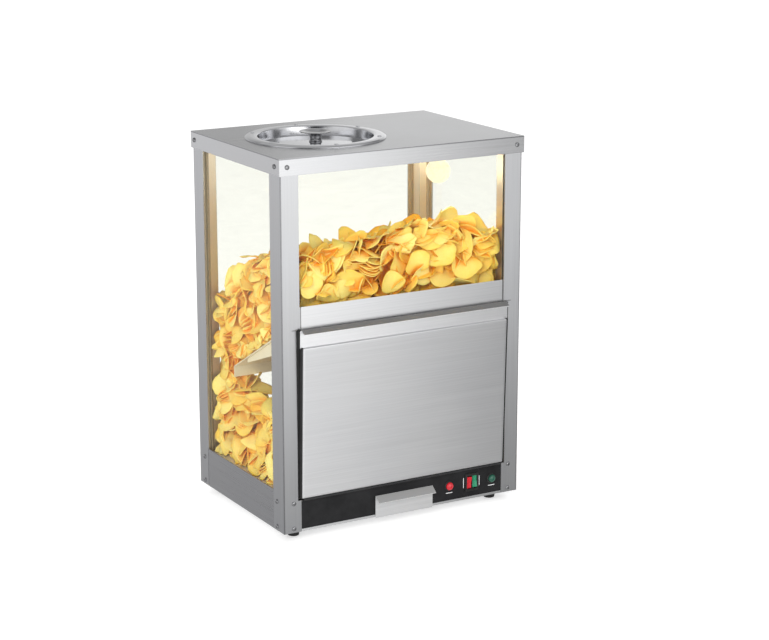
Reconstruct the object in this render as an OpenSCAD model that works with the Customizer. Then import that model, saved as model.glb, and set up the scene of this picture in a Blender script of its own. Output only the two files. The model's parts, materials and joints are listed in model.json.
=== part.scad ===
// Counter-top chip warmer: glass bin filled through a lid in the roof, sloping
// shelf, bottom-hinged front flap, crumb drawer and control strip.
// Body coordinates: x from the left face, y from the front face of the posts,
// z from the underside of the base. place() moves them to the row's origin,
// the middle of the underside of the feet.

/* [Body] */
// Width of the body over the corner posts
body_w = 452; // [440:1:470]
// Depth of the body over the corner posts
body_d = 318; // [312:1:330]
// Height of the body from the underside of the base to the roof
body_h = 620; // [612:1:640]
// Height of the rubber feet
foot_h = 17; // [12:1:25]
// Diameter of the rubber feet
foot_d = 22; // [18:1:24]
// Distance of the feet from the outer faces
foot_inset = 34; // [33:1:40]

/* [Frame] */
// Width of a corner post's box section
post_x = 26; // [24:1:28]
// Depth of a front post's box section
post_yf = 35; // [34:1:36]
// Depth of a rear post's box section
post_yr = 32; // [31:1:33]
// Width of the window lip on the front and rear faces
lip_f = 6; // [5:0.5:7]
// Width of the window lip on the side faces
lip_s = 3; // [2:0.5:4]
// Overhang of the roof cap on every side
cap_over = 3; // [2.8:0.1:4]
// Height of the roof cap's skirt
cap_skirt = 28; // [24:1:32]
// Height of the lower edge of the side windows
side_z = 68; // [66:1:72]
// Height of the lower edge of the front window
rail_top = 378; // [374:1:384]
// Height of the front rail's lower edge
rail_bot = 340; // [338:1:342]

/* [Door] */
// Lean of the closed door away from the frame, in degrees
door_lean = 1.76; // [1.2:0.02:2]
// Height of the raised outer pan
pan_h = 255.5; // [240:0.5:258]
// Depth of the outer pan
pan_d = 5; // [4:0.5:6]
// Forward reach of the pull lip
lip_out = 11; // [8:0.5:14]
// Drop of the pull lip from its root to its tip
lip_drop = 5; // [3:0.5:7]
// Number of knuckles on the piano hinge
knuckles = 15; // [11:2:19]

/* [Fill lid] */
// Outer diameter of the collar's flange
flange_d = 235; // [225:1:238]
// Inner diameter of the collar's neck
neck_d = 190.4; // [186:0.2:192]
// Diameter of the lid's raised middle
plateau_d = 126; // [110:1:140]
// Diameter of the knob's flared top
knob_d = 54; // [44:1:60]
// Distance of the lid's centre from the left face
lid_x = 148.5; // [145:0.5:160]

/* [Shelf] */
// Slope of the deflector shelf, in degrees
shelf_a = 29; // [26:0.5:30]
// Distance of the shelf's rear edge from the front face
shelf_y = 190; // [180:1:200]
// Height of the shelf's turned-down rear edge
shelf_lip = 19; // [12:1:24]

/* [Crumb drawer] */
// Width of the drawer's front plate
plate_w = 111; // [110:1:114]
// Outer width of the drawer
tray_w = 107; // [104:0.5:107]
// Depth of the drawer from front to back
tray_l = 285; // [260:1:286]
// Outer height of the drawer
tray_h = 25; // [20:1:26]

/* [Controls] */
// Distance of the red lamp from the left face
red_x = 315.5; // [310:0.5:320]
// Distance of the twin switch from the left face
switch_x = 360; // [356:0.5:364]
// Distance of the green lamp from the left face
green_x = 400.5; // [398:0.5:404]
// Height of the controls above the underside of the base
ctrl_z = 30; // [28:0.5:32]
// Tilt of each rocker from its middle, in degrees
rock_a = 7; // [5:0.5:8]

/* [Lamp] */
// Distance of the lamp from the left face
lamp_x = 374; // [365:1:380]
// Distance of the lamp from the front face
lamp_y = 138; // [130:1:150]
// Diameter of the lamp's globe
bulb_d = 42; // [38:1:45]

/* [Hidden] */
$fn = 48;

W = body_w;
D = body_d;
t = 1.5;                          // folded sheet
lip_x = post_x + lip_f;           // inner edge of the front window lips
post_h = body_h - t - 0.1;        // posts stop just under the roof sheet
win_top = body_h - cap_skirt;     // lower edge of the cap's skirt
glass_t = 3;
glass_top = body_h - 16;
ledge_z = 60;                     // underside of the ledges that carry glass and floor
floor_z = ledge_z + t;            // underside of the bin floor
panel_z0 = 4.5;                   // black panel, lower and upper edge
panel_z1 = 52;
hinge_y = -1.9;                   // hinge axis
hinge_z = 54.6;
kn_r = 2.2;                       // hinge knuckle
pin_r = 1.0;
notch_z0 = 54;                    // posts' front lips are cut away beside the door
notch_z1 = rail_bot + 1;
door_x = 28.7;                    // side edge of the door's inner sheet
pan_x = 33.5;                     // side edge of the door's outer pan
sheet_y = 2.8;                    // front of the inner sheet, from the hinge axis
pan_z = 2.6;                      // lower edge of the door, from the hinge axis
inner_h = 284.8;                  // height of the inner sheet
hole_r = 2.1;
screw_z = [7, 50];                // post screws
cap_z = body_h - 14;              // cap screws
lid_y = D / 2;
frontmost = hinge_y + (sheet_y - lip_out) * cos(door_lean) - (pan_z + inner_h - lip_drop) * sin(door_lean);
rearmost = D + cap_over + 2.4;
y_mid = (frontmost + rearmost) / 2;

STEEL = [0.73, 0.74, 0.75];
DARK = [0.10, 0.10, 0.11];
CHROME = [0.86, 0.87, 0.88];

module place() { translate([-W / 2, -y_mid, foot_h]) children(); }
// A 2D outline in (y, z) extruded from x0 to x1.
module xprism(x0, x1) { translate([x0, 0, 0]) rotate([90, 0, 90]) linear_extrude(x1 - x0) children(); }
module both_sides() { children(); translate([W, 0, 0]) mirror([1, 0, 0]) children(); }
module box(x0, x1, y0, y1, z0, z1) { translate([x0, y0, z0]) cube([x1 - x0, y1 - y0, z1 - z0]); }

// ---------------------------------------------------------------- frame
module base_pan() { color(STEEL) place() difference() {
  union() {
    difference() {
      box(t + 0.1, W - t - 0.1, t + 0.2, D - t - 0.1, 0, t);
      both_sides() {
        box(-1, post_x + 0.2, -1, post_yf + 0.2, -1, 3);
        box(-1, post_x + 0.2, D - post_yr - 0.2, D + 1, -1, 3);
      }
    }
    box(lip_x + 0.3, W - lip_x - 0.3, 0.4, 1.9, 0, 4.2);
    box(post_x + 0.2, W - post_x - 0.2, 1.9, 3.4, 0, 52.4);
    box(post_x + 0.2, W - post_x - 0.2, 1.9, 22, 50.9, 52.4);
    both_sides() box(t + 0.1, 2 * t + 0.1, post_yf + 0.2, D - post_yr - 0.2, 0, 14);
    box(post_x + 0.2, W - post_x - 0.2, D - 3.1, D - 1.6, 0, 14);
  }
  box(W / 2 - 54.2, W / 2 + 54.2, 1.95, 5, t, 33);
  box(W / 2 - 54.2, W / 2 + 54.2, 0, 1.96, 4.25, 33);
  box(switch_x - 11.6, switch_x + 11.6, 1, 5, ctrl_z - 13.9, ctrl_z + 13.9);
  for (x = [red_x, green_x]) translate([x, 1, ctrl_z]) rotate([-90, 0, 0]) cylinder(r = 6.6, h = 4);
  foot_places() translate([0, 0, -1]) cylinder(r = 2.7, h = 4);
} }

module foot_places() { for (x = [foot_inset, W - foot_inset], y = [foot_inset, D - foot_inset])
  translate([x, y, 0]) children(); }

// Closed box section with window lips; the corner is at the origin, the lips
// run along +x and +y.
module post(py, front, cable) { difference() {
  union() {
    difference() {
      cube([post_x, py, post_h]);
      translate([t, t, -1]) cube([post_x - 2 * t, py - 2 * t, post_h + 2]);
    }
    cube([lip_x, t, post_h]);
    translate([0, 0, front ? 0 : side_z]) cube([t, py + lip_s, post_h - (front ? 0 : side_z)]);
  }
  if (front) translate([post_x, -1, notch_z0]) cube([lip_f + 1, t + 2, notch_z1 - notch_z0]);
  if (front) translate([18, -1, notch_z1 - 0.7]) cube([9, t + 2, 0.7]);
  for (z = screw_z) {
    translate([18, -1, z]) rotate([-90, 0, 0]) cylinder(r = hole_r, h = t + 2);
    translate([-1, front ? 25 : 19, z]) rotate([0, 90, 0]) cylinder(r = hole_r, h = t + 2);
  }
  translate([11, -1, cap_z]) rotate([-90, 0, 0]) cylinder(r = hole_r, h = t + 2);
  translate([-1, front ? 14 : 10, cap_z]) rotate([0, 90, 0]) cylinder(r = hole_r, h = t + 2);
  if (cable) for (z = [20, body_h - 12]) translate([post_x - 3, 20, z]) rotate([0, 90, 0]) cylinder(r = 3.2, h = 5);
} }
module front_left_post() { color(STEEL) place() post(post_yf, true, false); }
module front_right_post() { color(STEEL) place() translate([W, 0, 0]) mirror([1, 0, 0]) post(post_yf, true, false); }
module rear_left_post() { color(STEEL) place() translate([0, D, 0]) mirror([0, 1, 0]) post(post_yr, false, false); }
module rear_right_post() { color(STEEL) place() translate([W, D, 0]) rotate([0, 0, 180]) post(post_yr, false, true); }

module lower_panel() {
  box(0, t, post_yf + lip_s, D - post_yr - 0.8, 0, side_z);
  box(t, 22, post_yf, D - post_yr, ledge_z, ledge_z + t);
}
module left_lower_panel() { color(STEEL) place() lower_panel(); }
module right_lower_panel() { color(STEEL) place() translate([W, 0, 0]) mirror([1, 0, 0]) lower_panel(); }
module rear_lower_panel() { color(STEEL) place() difference() {
  union() {
    box(lip_x + 0.8, W - lip_x - 0.8, D - t, D, 0, side_z);
    box(post_x, W - post_x, D - 22, D - t, ledge_z, ledge_z + t);
  }
  for (i = [0:7]) box(60 + i * 10, 64 + i * 10, D - 3, D + 1, 20, 50);
  box(inlet_x - 14.1, inlet_x + 14.1, D - 3, D + 1, 34 - 10.6, 34 + 10.6);
} }

module front_rail() { color(STEEL) place() union() {
  box(lip_x + 0.3, W - lip_x - 0.3, 0.2, 1.7, rail_bot, rail_top);
  xprism(post_x, W - post_x) difference() {
    translate([1.7, rail_bot]) square([18.3, 31.5]);
    translate([1.6, rail_bot + t]) square([16.9, 28.5]);
  }
} }

module roof_cap() { color(STEEL) place() difference() {
  union() {
    difference() {
      box(-cap_over, W + cap_over, -cap_over, D + cap_over, win_top, body_h);
      box(t - cap_over, W + cap_over - t, t - cap_over, D + cap_over - t, win_top - 1, body_h - t);
    }
    difference() {
      box(-cap_over + 0.5, W + cap_over - 0.5, -cap_over + 0.5, D + cap_over - 0.5, win_top, win_top + 8);
      box(-0.2, W + 0.2, -0.2, D + 0.2, win_top - 1, win_top + 9);
    }
  }
  translate([lid_x, lid_y, body_h - 5]) cylinder(r = neck_d / 2 + 2.5, h = 10, $fn = 96);
  cap_screw_places() translate([0, 0, -6]) cylinder(r = hole_r, h = 8);
  rivet_places() translate([0, 0, -8]) cylinder(r = 2.05, h = 9);
} }

// ---------------------------------------------------------------- glass
module front_glass() { color([0.85, 0.93, 0.92, 0.3]) place()
  box(post_x + 0.4, W - post_x - 0.4, 1.9, 1.9 + glass_t, rail_bot + 31.8, glass_top); }
module side_pane() { box(1.9, 1.9 + glass_t, post_yf + 0.4, D - post_yr - 0.4, floor_z + 0.3, glass_top); }
module left_glass() { color([0.85, 0.93, 0.92, 0.3]) place() side_pane(); }
module right_glass() { color([0.85, 0.93, 0.92, 0.3]) place() translate([W, 0, 0]) mirror([1, 0, 0]) side_pane(); }
module rear_glass() { color([0.85, 0.93, 0.92, 0.3]) place()
  box(post_x + 0.4, W - post_x - 0.4, D - 1.9 - glass_t, D - 1.9, floor_z + 0.3, glass_top); }
module retainer() { linear_extrude(glass_top - 4 - 64) union() { square([6.9, 1.2]); square([1.2, 8]); } }
module glass_retainers() { color(STEEL) place() both_sides() {
  translate([5.1, post_yf, 64]) retainer();
  translate([5.1, D - post_yr, 64]) mirror([0, 1, 0]) retainer();
  translate([post_x, D - 5.1, 64]) rotate([0, 0, -90]) retainer();
  translate([post_x, 5.1, rail_top - 6]) linear_extrude(glass_top - 4 - rail_top + 6)
    union() { square([7, 1.2]); square([1.2, 7]); }
} }

// ---------------------------------------------------------------- bin
shelf_t = t / cos(shelf_a);
function shelf_top(y) = rail_bot - (y - 8.5) * tan(shelf_a);
module deflector_shelf() { color(STEEL) place() difference() {
  xprism(7, W - 7) polygon([[8.5, rail_bot], [20, rail_bot], [20, rail_bot - t], [8.5 + t / tan(shelf_a), rail_bot - t],
    [shelf_y + t, shelf_top(shelf_y + t)], [shelf_y + t, shelf_top(shelf_y + t) - shelf_lip],
    [shelf_y, shelf_top(shelf_y + t) - shelf_lip], [shelf_y, shelf_top(shelf_y) - shelf_t], [8.5, rail_bot - shelf_t]]);
  both_sides() box(-1, post_x + 0.5, -1, post_yf + 2, 300, 345);
} }
module shelf_brackets() { color(STEEL) place() both_sides() union() {
  xprism(12.2, 13.7) polygon([for (p = [[post_yf + 1.6, 0], [150, 0], [150, -6], [post_yf + 1.6, -28]])
    [p[0], shelf_top(p[0]) - shelf_t - 0.05 + p[1]]]);
  box(12.2, 24, post_yf, post_yf + 1.6, shelf_top(post_yf) - shelf_t - 30, shelf_top(post_yf) - shelf_t - 3);
} }
module bin_floor() { color(STEEL) place() difference() {
  box(7, W - 7, 8, D - 8, floor_z, floor_z + t);
  both_sides() {
    box(-1, post_x + 0.5, -1, post_yf + 1.5, 50, 70);
    box(-1, post_x + 0.5, D - post_yr - 1.5, D + 1, 50, 70);
  }
  for (x = [-150, -110, -36, 0, 36, 110, 150], i = [0:9])
    box(W / 2 + x - 13, W / 2 + x + 13, 44 + 24 * i, 49 + 24 * i, 50, 70);
} }
module bay_walls() { color(STEEL) place() both_sides()
  box(W / 2 - 58.2, W / 2 - 57, 22.5, D - 22.5, t, floor_z - 0.05); }
module tray_runners() { color(STEEL) place() both_sides() union() {
  box(W / 2 - 56, W / 2 - 38, 24, D - 20, t, 2.7);
  box(W / 2 - 56, W / 2 - 54.8, 24, D - 20, 2.6, 16);
  box(W / 2 - 46, W / 2 - 43, 24, D - 20, 2.6, 4.2);
} }

// ---------------------------------------------------------------- electrics
heat_x = [95, W - 95];
heat_z = 32;
module heater_elements() { color([0.30, 0.29, 0.29]) place() for (x = heat_x) union() {
  for (s = [-20, 20]) translate([x + s, 60, heat_z]) rotate([-90, 0, 0]) {
    cylinder(r = 4, h = 180, $fn = 32);
    translate([0, 0, -10]) cylinder(r = 1.6, h = 11, $fn = 24);
  }
  translate([x, 240, heat_z]) rotate_extrude(angle = 180, $fn = 64) translate([20, 0]) circle(r = 4, $fn = 32);
} }
module heater_saddles() { color(STEEL) place() for (x = heat_x, y = [90, 215]) union() {
  difference() {
    box(x - 30, x + 30, y, y + 1.2, t, 40);
    for (s = [-20, 20]) translate([x + s, y - 1, heat_z]) rotate([-90, 0, 0]) cylinder(r = 4.1, h = 4, $fn = 32);
  }
  box(x - 30, x + 30, y + 1.2, y + 12, t, 2.7);
} }
module thermostat() { color([0.16, 0.16, 0.17]) place() translate([W / 2 + 58.2, 140, 40]) rotate([0, 90, 0]) union() {
  cylinder(r = 8.5, h = 8);
  translate([-4, -12, 0]) cube([8, 24, 1]);
  for (s = [-4, 4]) translate([-0.4, s - 3, 7]) cube([0.8, 6, 8]);
} }
module terminal_block() { color([0.86, 0.85, 0.80]) place() difference() {
  box(W - 66, W - 42, 268, 308, t, 25);
  for (i = [0:3]) box(W - 60, W - 48, 271 + i * 9.2, 278 + i * 9.2, 16, 26);
} }
module lamp_bracket() { color(STEEL) place() union() {
  box(lamp_x - 36, lamp_x + 36, lamp_y - 22, lamp_y + 22, body_h - 3.2, body_h - t - 0.1);
  both_lamp() box(lamp_x - 24, lamp_x - 22.8, lamp_y - 12, lamp_y + 12, body_h - 13, body_h - 3.1);
} }
module both_lamp() { children(); translate([2 * lamp_x, 0, 0]) mirror([1, 0, 0]) children(); }
module lamp_holder() { color([0.93, 0.92, 0.89]) place() translate([lamp_x, lamp_y, 0]) difference() {
  rotate_extrude() polygon([[0, body_h - 48], [17, body_h - 48], [18, body_h - 44], [18, body_h - 26],
    [20, body_h - 22], [20, body_h - 3.2], [0, body_h - 3.2]]);
  translate([0, 0, body_h - 49]) cylinder(r = 13.6, h = 29);
} }
module lamp_bulb() { color([1.0, 0.93, 0.72]) place() translate([lamp_x, lamp_y, 0]) union() {
  translate([0, 0, body_h - 74]) sphere(d = bulb_d, $fn = 64);
  translate([0, 0, body_h - 62]) cylinder(r = 11, h = 15);
  translate([0, 0, body_h - 48]) cylinder(r = 13, h = 28);
} }
module rod(p, q, r) { // between two points that differ along one axis only
  d = q - p;
  translate(p) rotate(d[0] != 0 ? [0, d[0] > 0 ? 90 : -90, 0] : d[1] != 0 ? [d[1] > 0 ? -90 : 90, 0, 0]
    : [d[2] > 0 ? 0 : 180, 0, 0]) cylinder(r = r, h = norm(d), $fn = 24); }
cable_pts = [[lamp_x, lamp_y + 20, body_h - 12], [lamp_x, D - 20, body_h - 12],
  [W - 13, D - 20, body_h - 12], [W - 13, D - 20, 20], [W - 38, D - 20, 20]];
module lamp_cable() { color([0.82, 0.80, 0.76]) place() union() {
  for (i = [0:3]) rod(cable_pts[i], cable_pts[i + 1], 2.5);
  for (i = [1:3]) translate(cable_pts[i]) sphere(r = 2.5, $fn = 24);
} }
inlet_x = W - 100;
module power_inlet() { color(DARK) place() translate([inlet_x, D, 34]) rotate([-90, 0, 0]) union() {
  difference() {
    union() {
      translate([-16, -12.8, 0]) cube([32, 25.6, 2.2]);
      translate([-13.8, -10.3, -22]) cube([27.6, 20.6, 22]);
    }
    translate([-12, -8.2, -16]) cube([24, 16.4, 19]);
  }
  for (p = [[-7, 2.5], [7, 2.5], [0, -3]]) translate([p[0] - 1, p[1] - 2, -17]) cube([2, 4, 10]);
} }

// ---------------------------------------------------------------- controls
module control_panel() { color(DARK) place() difference() {
  box(lip_x + 0.3, W - lip_x - 0.3, 0.4, 1.9, panel_z0, panel_z1);
  box(W / 2 - 54.2, W / 2 + 54.2, 0, 3, 4, 33);
  box(switch_x - 11.6, switch_x + 11.6, 0, 3, ctrl_z - 13.9, ctrl_z + 13.9);
  for (x = [red_x, green_x]) translate([x, 0, ctrl_z]) rotate([-90, 0, 0]) cylinder(r = 6.6, h = 4);
} }
rock_y = 5; // rocker axle, behind the front face
module switch_housing() { color([0.07, 0.07, 0.07]) place() translate([switch_x, 0, ctrl_z]) union() {
  difference() {
    union() {
      box(-13, 13, -2.2, 0.4, -15.5, 15.5);
      box(-11.2, 11.2, 0.3, 28, -13.5, 13.5);
    }
    box(-10.2, -0.6, -3, 10, -11.6, 11.6);
    box(0.6, 10.2, -3, 10, -11.6, 11.6);
  }
  translate([-10.5, rock_y, 0]) rotate([0, 90, 0]) cylinder(r = 0.95, h = 21);
  for (x = [-7, 0, 7], z = [-8, 8]) box(x - 0.4, x + 0.4, 27.9, 36, z - 2.4, z + 2.4);
} }
module rocker(x0, a) { translate([switch_x + x0, rock_y, ctrl_z]) rotate([a, 0, 0]) difference() {
  xprism(0, 9) polygon([[-6, 0], [-7.3, 10.3], [-4.5, 10.5], [-1, 8.5], [2.4, 3.2], [2.4, -3.2],
    [-1, -8.5], [-4.5, -10.5], [-7.3, -10.3]]);
  translate([-1, 0, 0]) rotate([0, 90, 0]) cylinder(r = 1.0, h = 11);
} }
module red_rocker() { color([0.75, 0.04, 0.08]) place() rocker(-9.9, rock_a); }
module green_rocker() { color([0.02, 0.50, 0.28]) place() rocker(0.9, -rock_a); }
module indicator_bezels() { color([0.12, 0.12, 0.12]) place() for (x = [red_x, green_x])
  translate([x, 0.4, ctrl_z]) rotate([90, 0, 0]) difference() {
    rotate_extrude() polygon([[0, -22], [6.3, -22], [6.3, 0], [9, 0], [9, 0.7], [8.2, 1.6], [0, 1.6]]);
    translate([0, 0, -14]) cylinder(r = 5.2, h = 20);
  } }
module lens(x) { translate([x, 0.4, ctrl_z]) rotate([90, 0, 0])
  rotate_extrude() polygon(concat([[0, -10], [5.1, -10], [5.1, 1.65], [7, 1.65]],
    [for (i = [0:9]) [7 * cos(i * 10), 2.2 + 4.6 * sin(i * 10)]])); }
module red_lens() { color([0.8, 0.03, 0.05]) place() lens(red_x); }
module green_lens() { color([0.03, 0.42, 0.25]) place() lens(green_x); }

// ---------------------------------------------------------------- fasteners and feet
module feet() { color([0.05, 0.05, 0.05]) place() foot_places() translate([0, 0, -foot_h]) difference() {
  rotate_extrude() polygon([[0, 0], [foot_d / 2 - 2.2, 0], [foot_d / 2 - 1.2, 1], [foot_d / 2, foot_h - 4],
    [foot_d / 2, foot_h], [0, foot_h]]);
  translate([0, 0, foot_h - 11]) cylinder(r = 2.45, h = 12);
} }
// Pan-head screw along +z, head on the z = 0 plane, shank below it.
module pan_screw(r, h, sr, sl) { difference() {
  union() {
    rotate_extrude() polygon([[0, 0], [r, 0], [r, h * 0.4], [r * 0.86, h * 0.8], [r * 0.55, h], [0, h]]);
    translate([0, 0, -sl]) cylinder(r = sr, h = sl + 0.1);
  }
  for (a = [0, 90]) rotate([0, 0, a]) translate([-r * 0.55, -r * 0.12, h - 1]) cube([r * 1.1, r * 0.24, 2]);
} }
module foot_screws() { color(STEEL) place() foot_places() translate([0, 0, t]) pan_screw(4.4, 3, 2.4, 11.5); }
module cap_screw_places() { for (x = [11, W - 11]) {
    translate([x, -cap_over, cap_z]) rotate([90, 0, 0]) children();
    translate([x, D + cap_over, cap_z]) rotate([-90, 0, 0]) children();
  }
  for (y = [14, D - 10]) {
    translate([-cap_over, y, cap_z]) rotate([0, -90, 0]) children();
    translate([W + cap_over, y, cap_z]) rotate([0, 90, 0]) children();
  } }
module cap_screws() { color(CHROME) place() cap_screw_places() pan_screw(4, 2.4, 1.9, 9); }
module post_screws() { color(CHROME) place() for (z = screw_z) {
  for (x = [18, W - 18]) {
    translate([x, 0, z]) rotate([90, 0, 0]) pan_screw(4, 2.4, 1.9, 7);
    translate([x, D, z]) rotate([-90, 0, 0]) pan_screw(4, 2.4, 1.9, 7);
  }
  for (y = [25, D - 19]) {
    translate([0, y, z]) rotate([0, -90, 0]) pan_screw(4, 2.4, 1.9, 7);
    translate([W, y, z]) rotate([0, 90, 0]) pan_screw(4, 2.4, 1.9, 7);
  }
} }

// ---------------------------------------------------------------- door
seal_k = tan(door_lean);
function seal_y(z) = hinge_y + sheet_y + t + 0.6 - (z - hinge_z) * seal_k;
module door_seal() { color([0.04, 0.04, 0.04]) place() difference() {
  union() {
    both_sides() xprism(post_x, pan_x - 0.5) polygon([[seal_y(56.2), 56.2], [7, 56.2], [7, rail_bot], [seal_y(rail_bot), rail_bot]]);
    xprism(pan_x - 0.2, W - pan_x + 0.2) polygon([[seal_y(rail_bot - 12), rail_bot - 12], [8, rail_bot - 12], [8, rail_bot],
      [seal_y(rail_bot), rail_bot]]);
  }
  both_sides() box(70, 100, -20, 1, rail_bot - 10, rail_bot - 2);
} }
module catch_magnets() { color([0.35, 0.35, 0.36]) place() both_sides()
  box(70.1, 99.9, seal_y(rail_bot - 10) + 0.2, 0.95, rail_bot - 9.9, rail_bot - 2.1); }

hx0 = 35;
seg = (W - 2 * hx0) / knuckles;
module hinge_fixed_leaf() { color(DARK) place() translate([0, hinge_y, hinge_z]) difference() {
  union() {
    for (i = [0:2:knuckles - 1]) translate([hx0 + i * seg + 0.2, 0, 0]) rotate([0, 90, 0]) cylinder(r = kn_r, h = seg - 0.4, $fn = 32);
    box(hx0, W - hx0, 0, 16, -kn_r, -kn_r + 1);
  }
  for (i = [1:2:knuckles - 1]) box(hx0 + i * seg - 0.2, hx0 + (i + 1) * seg + 0.2, -1, 2.6, -3, 0);
  translate([hx0 - 1, 0, 0]) rotate([0, 90, 0]) cylinder(r = pin_r + 0.01, h = W - 2 * hx0 + 2, $fn = 32);
} }
module hinge_pin() { color([0.2, 0.2, 0.2]) place() translate([hx0 - 1, hinge_y, hinge_z]) rotate([0, 90, 0])
  cylinder(r = pin_r, h = W - 2 * hx0 + 2, $fn = 32); }
// Everything on the door is drawn upright from the hinge axis, then leaned.
module door_frame() { place() translate([0, hinge_y, hinge_z]) rotate([door_lean, 0, 0]) children(); }
module hinge_moving_leaf() { color(DARK) door_frame() difference() {
  union() {
    for (i = [1:2:knuckles - 1]) {
      translate([hx0 + i * seg + 0.2, 0, 0]) rotate([0, 90, 0]) cylinder(r = kn_r, h = seg - 0.4, $fn = 32);
      box(hx0 + i * seg + 0.2, hx0 + (i + 1) * seg - 0.2, 0, sheet_y, 0, 2.3);
      box(hx0 + i * seg + 0.2, hx0 + (i + 1) * seg - 0.2, sheet_y - 1, sheet_y, 0, 4);
    }
    box(hx0, W - hx0, sheet_y - 1, sheet_y, 2.7, 22);
  }
  translate([hx0 - 1, 0, 0]) rotate([0, 90, 0]) cylinder(r = pin_r + 0.03, h = W - 2 * hx0 + 2, $fn = 32);
} }
module door_inner() { color(STEEL) door_frame() union() {
  box(door_x, W - door_x, sheet_y, sheet_y + t, pan_z, pan_z + inner_h - 1.4);
  xprism(door_x + 2.3, W - door_x - 2.3) polygon([[sheet_y + t, pan_z + inner_h - 2.4], [sheet_y + t, pan_z + inner_h],
    [sheet_y + 0.4, pan_z + inner_h], [sheet_y - lip_out, pan_z + inner_h - lip_drop],
    [sheet_y - lip_out, pan_z + inner_h - lip_drop - t], [sheet_y, pan_z + inner_h - 2.2]]);
} }
module door_outer() { color(STEEL) door_frame() difference() {
  box(pan_x, W - pan_x, sheet_y - pan_d, sheet_y, pan_z, pan_z + pan_h);
  box(pan_x + 1, W - pan_x - 1, sheet_y - pan_d + 1, sheet_y + 1, pan_z + 1, pan_z + pan_h - 1);
  box(pan_x + 1, W - pan_x - 1, sheet_y - 1.2, sheet_y + 1, pan_z - 1, pan_z + 2);
} }
module door_gasket() { color([0.04, 0.04, 0.04]) door_frame() both_sides()
  box(door_x + 0.2, pan_x - 0.15, sheet_y - 3.4, sheet_y, pan_z, pan_z + pan_h); }

// ---------------------------------------------------------------- crumb drawer
module crumb_tray() { color(STEEL) place() translate([W / 2, 0, 4.6]) difference() {
  translate([-tray_w / 2, -0.3, 0]) cube([tray_w, tray_l, tray_h]);
  translate([-tray_w / 2 + 1, 0.7, 1]) cube([tray_w - 2, tray_l - 2, tray_h]);
} }
module tray_handle() { color(STEEL) place() xprism(W / 2 - plate_w / 2, W / 2 + plate_w / 2)
  polygon([[-0.3, -1.5], [-0.3, 36.9], [-1.0, 37.3], [-13.3, 27.6], [-12.6, 26.7], [-1.5, 35.5], [-1.5, -1.5]]); }

// ---------------------------------------------------------------- fill opening
module at_lid() { place() translate([lid_x, lid_y, body_h]) children(); }
ni = neck_d / 2;
fo = flange_d / 2;
module fill_collar() { color(CHROME) at_lid() difference() {
  rotate_extrude($fn = 128) polygon([[fo, 0], [fo, 1.4], [fo - 0.8, 2.8], [fo - 2.6, 3.8], [fo - 6, 4.2], [ni + 5, 4.2],
    [ni + 2, 3.8], [ni + 0.4, 2.6], [ni, 1], [ni, -18.5], [ni + t, -18.5], [ni + t, 0]]);
  rivet_holes();
} }
// The ring under the collar's neck that the lid rests on.
module collar_ledge() { color(CHROME) at_lid() rotate_extrude($fn = 128)
  polygon([[ni - 7, -20], [ni + t, -20], [ni + t, -18.5], [ni - 7, -18.5]]); }
module rivet_places() { for (a = [20:60:359]) at_rivet(a) children(); }
module at_rivet(a) { translate([lid_x, lid_y, body_h + 4.2]) rotate([0, 0, a]) translate([(ni + fo) / 2 + 1, 0, 0]) children(); }
module rivet_holes() { for (a = [20:60:359]) rotate([0, 0, a]) translate([(ni + fo) / 2 + 1, 0, -3]) cylinder(r = 2.05, h = 9); }
module collar_rivets() { color(CHROME) place() rivet_places() union() {
  rotate_extrude() polygon([[0, 0], [3.4, 0], [3, 0.8], [1.8, 1.3], [0, 1.5]]);
  translate([0, 0, -7.5]) cylinder(r = 2.0, h = 7.6);
} }
pr = plateau_d / 2;
lr = ni - 1;
module fill_lid() { color(CHROME) at_lid() difference() {
  rotate_extrude($fn = 128) polygon([[0, -9.2], [pr - 3, -9.2], [pr, -14.2], [lr - 1.2, -14.2], [lr - 1.2, -18.2], [lr, -18.2],
    [lr, -13.6], [lr - 0.6, -13], [pr + 0.8, -13], [pr - 2.2, -8], [0, -8]]);
  translate([0, 0, -12]) cylinder(r = 2.5, h = 6);
} }
kr = knob_d / 2;
module lid_knob() { color(CHROME) at_lid() difference() {
  rotate_extrude($fn = 96) polygon([[0, -8], [11, -8], [11, -7], [9.6, -5], [9.2, -1], [10.5, 3], [14, 6], [20, 7.9],
    [kr - 1, 8.6], [kr, 9.4], [kr - 0.4, 10.2], [kr - 2, 10.2], [20, 9.6], [14, 8], [9, 7], [0, 6.6]]);
  translate([0, 0, -9]) cylinder(r = 2.5, h = 12);
} }
module knob_screw() { color(STEEL) at_lid() translate([0, 0, -9.2]) rotate([180, 0, 0]) pan_screw(5, 3, 2.4, 11); }

base_pan();
front_left_post();
front_right_post();
rear_left_post();
rear_right_post();
left_lower_panel();
right_lower_panel();
rear_lower_panel();
front_rail();
roof_cap();
front_glass();
left_glass();
right_glass();
rear_glass();
glass_retainers();
deflector_shelf();
shelf_brackets();
bin_floor();
bay_walls();
tray_runners();
heater_elements();
heater_saddles();
thermostat();
terminal_block();
lamp_bracket();
lamp_holder();
lamp_bulb();
lamp_cable();
control_panel();
switch_housing();
red_rocker();
green_rocker();
indicator_bezels();
red_lens();
green_lens();
feet();
foot_screws();
cap_screws();
post_screws();
power_inlet();
door_seal();
catch_magnets();
hinge_fixed_leaf();
hinge_pin();
hinge_moving_leaf();
door_inner();
door_outer();
door_gasket();
crumb_tray();
tray_handle();
fill_collar();
collar_ledge();
collar_rivets();
fill_lid();
lid_knob();
knob_screw();
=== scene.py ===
import json
import math
import bpy
import bmesh
import numpy as np
from mathutils import Matrix, Vector, noise

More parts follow.
